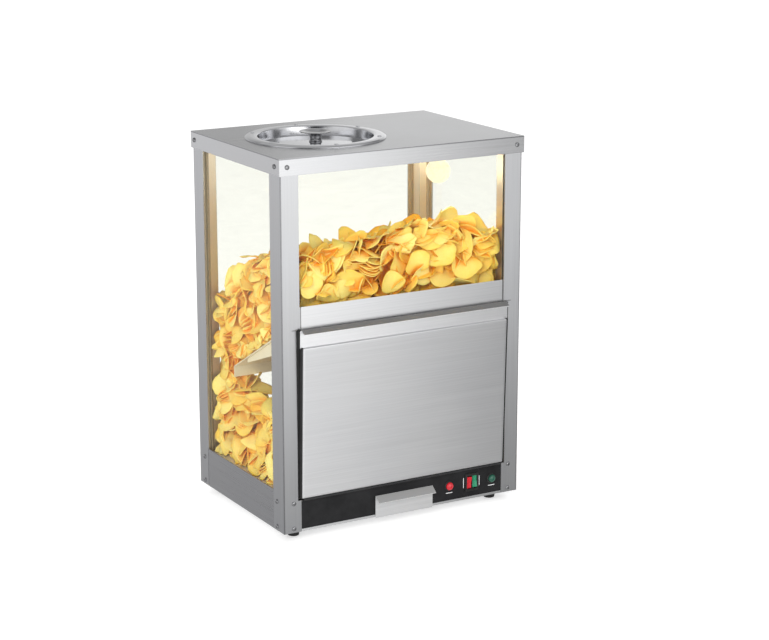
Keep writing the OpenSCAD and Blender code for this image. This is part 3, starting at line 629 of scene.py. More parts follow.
# ------------------------------------------------------------------ door pan
def door_pan():
    x0, x1, z0, z1 = 31.6, 420.0, 2.6, 258.1
    yf, yb = -2.2, 2.7
    r, c = 1.9, 2.2
    loops = []
    for d, y in ((1.0, yf + 1.0), (1.0, yb)):
        loops.append([door_pt(x, y, z) for x, z in inset_rect(x0, x1, z0, z1, d, c)])
    loops.append([door_pt(x, yb, z) for x, z in inset_rect(x0, x1, z0, z1, 0, c)])
    for k in range(7):
        a = math.pi / 2 * k / 6
        d = r * (1 - math.cos(a))
        loops.append([door_pt(x, yf + r * (1 - math.sin(a)), z) for x, z in inset_rect(x0, x1, z0, z1, d, c)])
    verts, faces = loops_mesh(loops, True, False)
    # The face is a grid, very slightly crowned between its folds, as pressed sheet is.
    nx, nz = 48, 32
    bm = bmesh.new()
    bv = [bm.verts.new(v) for v in verts]
    for f in faces:
        bm.faces.new([bv[i] for i in f])
    ring = bv[-len(loops[0]):]
    inner = []
    gx0, gx1, gz0, gz1 = x0 + 4.5, x1 - 4.5, z0 + 4.5, z1 - 4.5
    grid = []
    for j in range(nz + 1):
        row = []
        for i in range(nx + 1):
            u, v = i / nx, j / nz
            x, z = gx0 + (gx1 - gx0) * u, gz0 + (gz1 - gz0) * v
            crown = 0.10 * math.sin(math.pi * u) * math.sin(math.pi * v)
            wav = 0.05 * noise.noise(Vector((x / 90, z / 90, 3.1))) * min(1, 6 * u, 6 * (1 - u)) * min(1, 6 * v, 6 * (1 - v))
            row.append(bm.verts.new(door_pt(x, yf - crown * 0.6 + wav, z)))
        grid.append(row)
    for j in range(nz):
        for i in range(nx):
            bm.faces.new((grid[j][i], grid[j][i + 1], grid[j + 1][i + 1], grid[j + 1][i]))
    border = [grid[0][i] for i in range(nx)] + [grid[j][nx] for j in range(nz)] + \
             [grid[nz][i] for i in range(nx, 0, -1)] + [grid[j][0] for j in range(nz, 0, -1)]
    e1 = [e for e in bm.edges if e.is_boundary]
    bmesh.ops.bridge_loops(bm, edges=e1)
    bm.verts.index_update()
    verts = [v.co.copy() for v in bm.verts]
    faces = [tuple(v.index for v in f.verts) for f in bm.faces]
    bm.free()
    return obj_from("door_pan", verts, faces, "steel_pan", "door", ("door_outer",), sharp=50)


door_pan()


def gap_shade_strips():
    """Black strips on the flap's inner sheet, each side of the pan: painted shade for the dark gap between the posts
    and the pan.
    """
    parts = []
    for a, b in ((28.0, 31.3), (420.3, 424.0)):
        loops = []
        outline = fillet([(a, 0.9), (b, 0.9), (b, 2.75), (a, 2.75)], [0.7, 0.3, 0.1, 0.1], 4)
        for z in (3.2, 3.6, 90, 180, 256.6, 257.0):
            k = 0.25 if z in (3.2, 257.0) else 0
            mx, my = (a + b) / 2, 1.8
            loops.append([door_pt(mx + (x - mx) * (1 - k * 0.1), my + (y - my) * (1 - k), z) for x, y in outline])
        parts.append(loops_mesh(loops))
    v, f = join(parts)
    return obj_from("door_gap_shade_strips", v, f, "rubber", "door", (), sharp=45)


gap_shade_strips()


# ------------------------------------------------------------------ lid, collar, knob
def lid_place(x, y, z):
    return pt(LID_S + x, LID_T + y, H + z)


NI, FO = 95.2, 117.5


def collar():
    prof = [(FO, 0.0), (FO, 1.6), (FO - 3.5, 3.4), (FO - 9, 4.2), (NI + 7, 4.0), (NI + 1.2, 3.0), (NI, -18.5), (NI - 7, -18.5), (NI - 7, -20), (NI + 1.5, -20), (NI + 1.5, 0.0)]
    prof = fillet(prof, [0.3, 1.2, 4.0, 6.0, 6.0, 1.4, 0.7, 0.4, 0.3, 1.2, 0.2], 6)
    v, f = lathe(prof, lid_place, 160)
    obj_from("collar_ring", v, f, "chrome", "root", ("fill_collar",), sharp=40)


def lid():
    # Pressed dish: turned-down rim, recessed ring and a raised middle with a soft shoulder.
    lr = NI - 1
    prof = [(0, -9.2), (60, -9.2), (63, -14.2), (lr - 1.2, -14.2), (lr - 1.2, -18.2), (lr, -18.2), (lr, -13.0), (64.2, -13.0),
            (60.8, -8.0), (0, -8.0)]
    prof = fillet(prof, [0, 2.0, 1.6, 0.4, 0.3, 0.3, 1.0, 2.4, 2.6, 0], 6)
    v, f = lathe(prof, lid_place, 144, closed=False)
    obj_from("lid_dish", v, f, "chrome", "lid", ("fill_lid",), sharp=40)
    kr = 27.0
    prof = [(0, -8), (11, -8), (11, -7), (9.6, -5), (9.2, -1), (10.5, 3), (14, 6), (20, 7.9), (kr - 1, 8.6), (kr, 9.4),
            (kr - 0.4, 10.2), (kr - 2, 10.2), (20, 9.6), (14, 8), (9, 7), (0, 6.6)]
    prof = fillet(prof, [0, 0.4, 0.5, 1.5, 4, 4, 5, 6, 0.6, 0.4, 0.4, 0.8, 6, 5, 4, 0], 4)
    v, f = lathe(prof, lid_place, 96, closed=False)
    obj_from("knob_flared", v, f, "knob", "lid", ("lid_knob",), sharp=40)


def rivets():
    parts = []
    for a in range(20, 360, 60):
        r = (NI + FO) / 2 + 1
        cx, cy = r * math.cos(math.radians(a)), r * math.sin(math.radians(a))
        dome = [(0, -0.3), (3.3, -0.3), (3.4, 0.15)] + [(3.4 * math.cos(q), 0.2 + 1.3 * math.sin(q))
                for q in [math.pi / 2 * i / 8 for i in range(1, 8)]] + [(0, 1.5)]
        parts.append(lathe(dome, lambda x, y, z, cx=cx, cy=cy: lid_place(cx + x, cy + y, 4.2 + z), 28, closed=False))
    v, f = join(parts)
    obj_from("rivet_domes", v, f, "chrome", "root", ("collar_rivets",), sharp=50)


collar()
lid()
rivets()


# ------------------------------------------------------------------ screws
def screw_head(r, h, place, spin):
    """Domed pan head with a cross recess sunk into its crown."""
    verts, faces = [], []
    rows = []
    rads = [0, 0.10, 0.2, 0.3, 0.4, 0.5, 0.6, 0.68, 0.76, 0.84, 0.90, 0.95, 0.985, 1.0]
    segs = 48
    for q in rads:
        idx = []
        rr = r * q
        hh = h * (1 - 0.42 * q ** 2.2 - (0.30 * max(0, (q - 0.84) / 0.16) ** 2))
        for k in range(1 if q == 0 else segs):
            a = 2 * math.pi * k / segs
            x, y = rr * math.cos(a), rr * math.sin(a)
            u, v = x * math.cos(spin) + y * math.sin(spin), -x * math.sin(spin) + y * math.cos(spin)
            wdt = r * 0.13
            inside = (abs(u) < wdt or abs(v) < wdt) and max(abs(u), abs(v)) < r * 0.60
            z = hh - (0.42 * h if inside else 0) * (1 - 0.5 * q)
            idx.append(len(verts))
            verts.append(place(x, y, z))
        rows.append(idx)
    skirt = [(1.0, 0.25 * h), (1.0, 0.0), (0.55, 0.0)]
    for q, z in skirt:
        idx = []
        for k in range(segs):
            a = 2 * math.pi * k / segs
            idx.append(len(verts))
            verts.append(place(r * q * math.cos(a), r * q * math.sin(a), z))
        rows.append(idx)
    for a, b in zip(rows, rows[1:]):
        for k in range(segs):
            j = (k + 1) % segs
            if len(a) == 1:
                faces.append((a[0], b[k], b[j]))
            else:
                faces.append((a[k], b[k], b[j], a[j]))
    faces.append(tuple(rows[-1]))
    return verts, faces


def facing(origin, direction):
    """Local x, y, z to the row frame, with z along direction (in body axes), origin in body mm."""
    d = Vector(direction)
    q = d.to_track_quat("Z", "Y")
    o = Vector(origin)

    def place(x, y, z):
        v = o + q @ Vector((x, y, z))
        return pt(*v)
    return place


def screws():
    parts, parts2 = [], []
    k = 0
    cz = H - 14
    for x in (11, W - 11):
        for d, y in (((0, -1, 0), -3), ((0, 1, 0), D + 3)):
            parts.append(screw_head(4.0, 2.4, facing((x, y, cz), d), 0.4 + k * 1.13))
            k += 1
    for y in (14, D - 10):
        for d, x in (((-1, 0, 0), -3), ((1, 0, 0), W + 3)):
            parts.append(screw_head(4.0, 2.4, facing((x, y, cz), d), 0.4 + k * 1.13))
            k += 1
    for z in (7, 50):
        for x in (18, W - 18):
            for d, y in (((0, -1, 0), 0), ((0, 1, 0), D)):
                parts2.append(screw_head(4.0, 2.4, facing((x, y, z), d), 0.4 + k * 1.13))
                k += 1
        for y in (25, D - 19):
            for d, x in (((-1, 0, 0), 0), ((1, 0, 0), W)):
                parts2.append(screw_head(4.0, 2.4, facing((x, y, z), d), 0.4 + k * 1.13))
                k += 1
    v, f = join(parts)
    obj_from("cap_screw_heads", v, f, "screw", "root", ("cap_screws",), sharp=30)
    v, f = join(parts2)
    obj_from("post_screw_heads", v, f, "screw", "root", ("post_screws",), sharp=30)


screws()


# ------------------------------------------------------------------ feet
def feet():
    parts = []
    for x in (34, W - 34):
        for y in (34, D - 34):
            prof = [(0, 0), (6.5, 0), (7.0, 0.8), (8.8, 0.8), (9.6, 1.4), (10.7, 12.6), (11, 14), (11, 16.9), (0, 16.9)]
            prof = fillet(prof, [0, 0.3, 0.3, 0.5, 0.8, 0.8, 0.5, 0.7, 0], 4)

            def rib(r, h, a):
                k = 0.18 * (1 if 2.5 < h < 12 and r > 9 else 0) * math.cos(a * 18)
                return r + k - 0.1, h
            parts.append(lathe(prof, lambda a, b, c, x=x, y=y: pt(x + a, y + b, c - FOOT), 108, closed=False, ripple=rib))
    v, f = join(parts)
    obj_from("rubber_feet", v, f, "rubber", "root", ("feet",), sharp=45)


feet()


# ------------------------------------------------------------------ lamp
def lamp():
    lx, ly = 374.0, 138.0
    R = 21.0
    cz = H - 74
    prof = [(0, cz - R)]
    for i in range(1, 25):
        a = math.pi * i / 24 * 0.81
        prof.append((R * math.sin(a), cz - R * math.cos(a)))
    prof += [(11.4, H - 58.5), (10.9, H - 54), (11.0, H - 49), (0, H - 49)]
    v, f = lathe(prof, lambda a, b, c: pt(lx + a, ly + b, c), 72, closed=False)
    globe = obj_from("lamp_globe", v, f, "lamp", "root", ("lamp_bulb",), sharp=60)
    globe.visible_shadow = False
    prof = [(0, H - 49.2), (11.9, H - 49.2), (12.6, H - 48.4)]
    z = H - 48
    while z < H - 24:
        prof += [(13.1, z), (13.1, z + 0.8), (12.2, z + 1.9), (12.2, z + 2.6)]
        z += 3.5
    prof += [(9, H - 22.5), (0, H - 21)]
    v, f = lathe(prof, lambda a, b, c: pt(lx + a, ly + b, c), 64, closed=False)
    obj_from("lamp_screw_cap", v, f, "brass", "root", (), sharp=40)
    prof = [(13.7, H - 47.6), (16.6, H - 48), (17.6, H - 44.5), (17.8, H - 27), (19.8, H - 22.5), (20, H - 3.3), (0, H - 3.3), (0, H - 20.2), (13.7, H - 20.2)]
    prof = fillet(prof, [0.5, 1.0, 1.2, 2.0, 1.2, 0.8, 0, 0, 0.3], 4)
    v, f = lathe(prof, lambda a, b, c: pt(lx + a, ly + b, c), 72, closed=True)
    obj_from("lamp_holder_ceramic", v, f, "ceramic", "root", ("lamp_holder",), sharp=40)


lamp()


# ------------------------------------------------------------------ switch and lamps
def rocker(name, x0, a, mat, body, node_name):
    """Rocker with a dished face and rounded rims."""
    ax = Vector((360.0 + x0, 5.0, 30.0))
    ca, sa = math.cos(math.radians(a)), math.sin(math.radians(a))

    def place(x, y, z):
        return pt(ax.x + x, ax.y + y * ca - z * sa, ax.z + y * sa + z * ca)
    side = fillet([(-6.1, 0), (-7.3, 10.3), (-4.5, 10.5), (-1, 8.5), (2.4, 3.2), (2.4, -3.2), (-1, -8.5), (-4.5, -10.5),
                   (-7.3, -10.3)], [14, 0.9, 0.6, 1, 1, 1, 1, 0.6, 0.9], 6)
    loops = []
    xs = [(0.0, 0.7), (0.12, 0.35), (0.35, 0.12), (0.7, 0.0), (2, 0), (4.5, 0), (7, 0), (8.3, 0.0), (8.65, 0.12), (8.88, 0.35), (9.0, 0.7)]
    for x, ins in xs:
        lp = []
        for y, z in side:
            dish = 0.0
            if y < -5.5:
                dish = 0.35 * math.sin(math.pi * min(1, max(0, x / 9))) * (1 - ins)
            k = 1 - ins / 10
            lp.append(place(x, (y + 2.4) * k - 2.4 + dish, z * k))
        loops.append(lp)
    v, f = loops_mesh(loops)
    obj_from(name, v, f, mat, body, (node_name,), sharp=50)


rocker("rocker_red_cap", -9.9, 7, "red", "red_switch", "red_rocker")
rocker("rocker_green_cap", 0.9, -7, "green", "green_switch", "green_rocker")


def lens(name, x, mat, node_name):
    prof = [(0, -10), (5.1, -10), (5.1, 1.7), (6.9, 1.7), (7.0, 2.2)]
    prof += [(7 * math.cos(math.pi / 2 * i / 14), 2.3 + 4.4 * math.sin(math.pi / 2 * i / 14)) for i in range(1, 14)]
    prof += [(0, 6.7)]

    def flute(r, h, a):
        k = 0.0 if h < 2.0 or h > 5.5 else 0.10 * math.cos(a * 20)
        return r - 0.12 + k, h
    v, f = lathe(prof, facing((x, 0.4, 30.0), (0, -1, 0)), 80, closed=False, ripple=flute)
    obj_from(name, v, f, mat, "root", (node_name,), sharp=60)


lens("lens_red_dome", 315.5, "red", "red_lens")
lens("lens_green_dome", 400.5, "green_dark", "green_lens")


def bezels():
    parts = []
    for x in (315.5, 400.5):
        prof = fillet([(5.25, -12), (6.25, -12), (6.25, -0.05), (9, -0.05), (9, 0.8), (8.1, 1.6), (5.25, 1.6)],
                      [0.2, 0.2, 0.1, 0.2, 0.5, 0.6, 0.3], 4)
        parts.append(lathe(prof, facing((x, 0.4, 30.0), (0, -1, 0)), 72, closed=True))
    v, f = join(parts)
    obj_from("lamp_bezel_rings", v, f, "black_plastic", "root", ("indicator_bezels",), sharp=40)


bezels()


def panel_marks():
    """Plain printed marks: a tick each side of the switch and a dash under each lamp."""
    parts = []

    def bar(x0, x1, z0, z1):
        loops = []
        for d, y in ((0, 0.42), (0, 0.26), (0.12, 0.18)):
            loops.append([pt(x, y, z) for x, z in round_rect(x0 + d, x1 - d, z0 + d, z1 - d, 0.35, 3)])
        parts.append(loops_mesh(loops))
    bar(343.6, 344.8, 21, 39)
    bar(375.2, 376.4, 21, 39)
    for x in (315.5, 400.5):
        bar(x - 6.5, x + 6.5, 16.9, 18.1)
    v, f = join(parts)
    obj_from("panel_marks", v, f, "print", "root", (), sharp=40)


panel_marks()


def seam_shade_strips():
    """Dark strips where the front rail meets the posts, and one down the front pane's right side: painted shadow for
    the seams there.
    """
    parts = []

    def strip(x0, x1, y0, y1, z0, z1):
        outline = fillet([(x0, y0), (x1, y0), (x1, y1), (x0, y1)], min(x1 - x0, y1 - y0) * 0.3, 3)
        parts.append(loops_mesh([[pt(x, y, z) for x, y in outline] for z in np.linspace(z0, z1, 6)]))
    for x in (34.0, W - 34.0):
        strip(x - 0.55, x + 0.55, -0.06, 0.5, 341.0, 378.0)
        k = 1 if x < W / 2 else -1
        if k < 0:
            strip(x - 0.95, x - 0.05, 0.5, 1.8, 379.0, H - 30)
    v, f = join(parts)
    obj_from("seam_shadow_strips", v, f, "rubber", "root", (), sharp=45)


seam_shade_strips()


# ------------------------------------------------------------------ crisps
def shelf_top(t):
    return 340 - (t - 8.5) * SHELF_K


def smooth(x):
    x = min(1.0, max(0.0, x))
    return x * x * (3 - 2 * x)


def wall_share(s):
    """1 against a side pane, 0 in the middle of the bin."""
    return 1 - smooth((min(s, W - s) - 34) / 30)


def up_top(s, t):
    """Top of the upper heap. Behind the shelf it stands only against the side panes."""
    front = np.interp(s, [0, 60, 130, 220, 340, 390, W], [450, 450, 460, 471, 474, 457, 444])
    wall = np.interp(t, [5, 41, 147, 204, 245, 285, 313], [0, 4, 24, 66, 112, 124, 130])
    mid = np.interp(t, [5, 41, 110, 150, 185, 205, 313], [0, 2, 26, 66, 132, 200, 200])
    k = wall_share(s)
    n = noise.noise(Vector((s / 70, t / 70, 1.7)))
    return front - wall * k - mid * (1 - k) + 7 * n


def low_top(s, t):
    """Top of the lower heap, banked up against the side panes."""
    wall = float(np.interp(t, [6, 20, 38, 70, 150, 190, 313], [108, 146, 176, 186, 180, 200, 214]))
    mid = float(np.interp(t, [6, 20, 38, 70, 150, 313], [84, 102, 110, 112, 102, 90]))
    k = wall_share(s)
    n = noise.noise(Vector((s / 70, t / 70, 9.2)))
    return wall * k + mid * (1 - k) + 7 * n


LO = np.array([5.6, 5.6, 63.8])
HI = np.array([W - 5.6, D - 5.6, 560.0])


def blocked(v):
    """True if any point of v (body mm) is in one of the cabinet's solids round the bin."""
    s, t, z = v[:, 0], v[:, 1], v[:, 2]
    m = np.minimum(s, W - s)
    if ((m < 26.6) & (t < 35.8)).any() or ((m < 26.6) & (t > D - 32.8)).any():
        return True
    if ((m < 12.6) & (t < 36.9)).any() or ((m < 12.6) & (t > D - 33.9)).any():
        return True
    if ((m < 33.6) & ((t < 6.9) | (t > D - 6.9))).any():
        return True
    if ((t < 20.6) & (z < 372.3) & (z > 337.5)).any():
        return True
    if ((t < 8.6) & (z < 340)).any():
        return True
    top = 340 - (t - 8.5) * SHELF_K
    if ((t < 192.2) & (z < top + 0.4) & (z > top - 2.6)).any():
        return True
    if ((t > 189.4) & (t < 192.2) & (z < top + 0.4) & (z > 218.8)).any():
        return True
    if ((m < 14.4) & (m > 11.4) & (t < 151) & (z < top) & (z > top - 34)).any():
        return True
    return False


def straddles(v):
    """True if the crisp has points both above and below the shelf."""
    t, z = v[:, 1], v[:, 2]
    near = t < 191
    if not near.any():
        return False
    top = 340 - (t[near] - 8.5) * SHELF_K
    return bool((z[near] > top).any() and (z[near] < top).any())


TEMPLATES = {}


def template(fr, segs):
    key = (tuple(fr), segs)
    if key in TEMPLATES:
        return TEMPLATES[key]
    R, A = [0.0], [0.0]
    for q in fr[1:]:
        for k in range(segs):
            R.append(q)
            A.append(2 * math.pi * (k + (0.5 if len(R) // segs % 2 else 0)) / segs)
    n = len(R)
    top = []
    for k in range(segs):
        top.append((0, 1 + k, 1 + (k + 1) % segs))
    for i in range(1, len(fr) - 1):
        for k in range(segs):
            j = (k + 1) % segs
            a, b = 1 + (i - 1) * segs, 1 + i * segs
            top.append((a + k, b + k, b + j))
            top.append((a + k, b + j, a + j))
    rim0 = 1 + (len(fr) - 2) * segs
    faces = list(top) + [(c + n, b + n, a + n) for a, b, c in top]
    for k in range(segs):
        j = (k + 1) % segs
        faces.append((rim0 + k, rim0 + k + n, rim0 + j + n))
        faces.append((rim0 + k, rim0 + j + n, rim0 + j))
    TEMPLATES[key] = (np.array(R), np.array(A), np.array(faces, np.int32))
    return TEMPLATES[key]


FINE = template([0, 0.28, 0.52, 0.74, 0.90, 1.0], 22)
COARSE = template([0, 0.4, 0.75, 1.0], 14)


def crisp(rng, tpl, size):
    """One crisp about its own centre, in mm: (points, rim share, tone)."""
    R, A, faces = tpl
    el = rng.uniform(1.0, 1.32)
    ph = rng.uniform(0, 2 * math.pi, 4)
    out = 1 + 0.07 * np.cos(2 * A + ph[0]) + 0.05 * np.cos(3 * A + ph[1]) + 0.025 * np.cos(5 * A + ph[2]) + 0.015 * np.cos(9 * A + ph[3])
    bite = rng.uniform()
    if bite < 0.22:                                   # a broken edge
        c = rng.uniform(0, 2 * math.pi)
        w = np.cos(A - c)
        lim = rng.uniform(0.45, 0.8)
        out = np.where(w > 0, np.minimum(out, lim / np.maximum(w, 1e-3) + 0.04 * np.cos(11 * A)), out)
    x = size * el * R * out * np.cos(A)
    y = size / el * R * out * np.sin(A)
    kind = rng.uniform()
    if kind < 0.55:                                   # saddle
        a, b = rng.uniform(4, 10), rng.uniform(-6, 2)
    elif kind < 0.85:                                 # trough
        a, b = rng.uniform(9, 17), rng.uniform(-2, 3)
    else:                                             # nearly flat
        a, b = rng.uniform(1, 4), rng.uniform(-2, 3)
    u, v = x / 25.0, y / 25.0
    z = a * u * u + b * v * v + rng.uniform(-3, 3) * u * v
    wave = rng.integers(3, 6)
    z = z + rng.uniform(0.6, 2.2) * R ** 3 * np.sin(wave * A + ph[1])
    z = z + rng.uniform(0.2, 0.9) * np.sin(u * 4.1 + ph[0]) * np.cos(v * 3.7 + ph[2])
    z = z - z.mean()
    th = 0.75 * (1 - 0.55 * R ** 4)
    nx, ny = -(2 * a * u) / 25.0, -(2 * b * v) / 25.0
    ln = np.sqrt(nx * nx + ny * ny + 1)
    top = np.stack([x + nx / ln * th, y + ny / ln * th, z + th / ln], 1)
    bot = np.stack([x - nx / ln * th, y - ny / ln * th, z - th / ln], 1)
    pts = np.concatenate([top, bot])
    tone = rng.uniform(0.0, 0.55) if rng.uniform() < 0.92 else rng.uniform(0.5, 0.95)
    rim = np.concatenate([R ** 5, R ** 5])
    return pts, rim, tone


def basis(n, spin):
    n = Vector(n).normalized()
    q = n.to_track_quat("Z", "Y").to_matrix() @ Matrix.Rotation(spin, 3, "Z")
    return np.array(q)


class Heap:
    def __init__(self, name, seed):
        self.name, self.rng = name, np.random.default_rng(seed)
        self.v, self.f, self.rim, self.tone, self.n, self.count = [], [], [], [], 0, 0

    def add(self, tpl, centre, normal, tilt, size, hug=None, depth=0.0, tries=10):
        rng = self.rng
        for i in range(tries):
            pts, rim, tone = crisp(rng, tpl, size * rng.uniform(0.86, 1.14) * (1 - 0.03 * i))
            n = np.array(normal, float)
            n = n / np.linalg.norm(n)
            r = rng.normal(0, 1, 3)
            r = r - r @ n * n
            r = r / np.linalg.norm(r)
            a = abs(rng.normal(0, 1)) * tilt
            n2 = n * math.cos(a) + r * math.sin(a)
            if rng.uniform() < 0.5:
                n2 = -n2 if hug is None else n2
            p = pts @ basis(n2, rng.uniform(0, 2 * math.pi)).T + np.array(centre) + rng.normal(0, 1.5 + 0.9 * i, 3)
            if hug is not None:
                axis, side = hug
                if side < 0:
                    p[:, axis] += LO[axis] + depth - p[:, axis].min()
                else:
                    p[:, axis] += HI[axis] - depth - p[:, axis].max()
            lo, hi = p.min(0), p.max(0)
            p += np.maximum(LO - lo, 0) - np.maximum(hi - HI, 0)
            if blocked(p) or straddles(p):
                continue
            self.v.append(p)
            self.f.append(tpl[2] + self.n)
            self.rim.append(rim)
            # Painted shade: crisps set deeper get a darker, more toasted tone.
            self.tone.append(np.full(len(p), min(0.95, tone + 0.014 * depth)))
            self.n += len(p)
            self.count += 1
            return True
        return False

    def stack(self, tpl, centre, axis, count, size, hug, depth):
        """A few crisps of one shape nested side by side along axis, seen edge-on."""
        seed = int(self.rng.integers(1 << 30))
        d = np.array(axis, float)
        d = d / np.linalg.norm(d)
        spin = self.rng.uniform(0, 2 * math.pi)
        pitch = self.rng.uniform(3.2, 5.0)
        for k in range(count):
            own = np.random.default_rng(seed)
            pts, rim, tone = crisp(own, tpl, size)
            tone = min(0.9, max(0.0, tone + self.rng.normal() * 0.08))
            j = self.rng.normal(0, 0.07, 3)
            p = pts @ basis(d + j, spin + self.rng.normal() * 0.12).T
            p = p + np.array(centre) + d * pitch * (k - count / 2) + self.rng.normal(0, 0.7, 3)
            axis_i, side = hug
            off = depth + abs(self.rng.normal()) * 1.2
            if side < 0:
                p[:, axis_i] += LO[axis_i] + off - p[:, axis_i].min()
            else:
                p[:, axis_i] += HI[axis_i] - off - p[:, axis_i].max()
            lo, hi = p.min(0), p.max(0)
            p += np.maximum(LO - lo, 0) - np.maximum(hi - HI, 0)
            if blocked(p) or straddles(p):
                continue
            self.v.append(p)
            self.f.append(tpl[2] + self.n)
            self.rim.append(rim)
            self.tone.append(np.full(len(p), tone))
            self.n += len(p)
            self.count += 1

    def build(self):
        v = arr(np.concatenate(self.v))
        f = np.concatenate(self.f)
        me = bpy.data.meshes.new(self.name)
        me.vertices.add(len(v))
        me.vertices.foreach_set("co", v.astype(np.float32).ravel())
        me.loops.add(len(f) * 3)
        me.loops.foreach_set("vertex_index", f.astype(np.int32).ravel())
        me.polygons.add(len(f))
        me.polygons.foreach_set("loop_start", np.arange(0, len(f) * 3, 3, dtype=np.int32))
        me.polygons.foreach_set("use_smooth", np.ones(len(f), bool))
        me.update(calc_edges=True)
        for nm, data in (("rim", self.rim), ("tone", self.tone)):
            at = me.attributes.new(nm, "FLOAT", "POINT")
            at.data.foreach_set("value", np.concatenate(data).astype(np.float32))
        me.materials.append(M["chip"])
        o = bpy.data.objects.new(self.name, me)
        scene.collection.objects.link(o)
        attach(o, "root")
        print("heap", self.name, self.count, "crisps", len(f), "faces")
        return o


def spread(rng, u0, u1, v0, v1, gap, keep):
    """Evenly scattered points of a rectangle that keep() accepts."""
    pts = []
    want = int((u1 - u0) * (v1 - v0) / gap ** 2 * 14)
    cells = {}
    for _ in range(want):
        u, v = rng.uniform(u0, u1), rng.uniform(v0, v1)
        if not keep(u, v):
            continue
        ci, cj = int(u // gap), int(v // gap)
        ok = True
        for i in (ci - 1, ci, ci + 1):
            for j in (cj - 1, cj, cj + 1):
                for a, b in cells.get((i, j), ()):
                    if (a - u) ** 2 + (b - v) ** 2 < gap * gap:
                        ok = False
        if ok:
            cells.setdefault((ci, cj), []).append((u, v))
            pts.append((u, v))
    return pts


def lean_of(u, v, seed):
    """A slow wander, so that neighbouring crisps lie much the same way."""
    p = Vector((u / 75, v / 75, seed))
    return noise.noise(p) * 1.5, noise.noise(p + Vector((11.3, 4.1, 0))) * 1.5


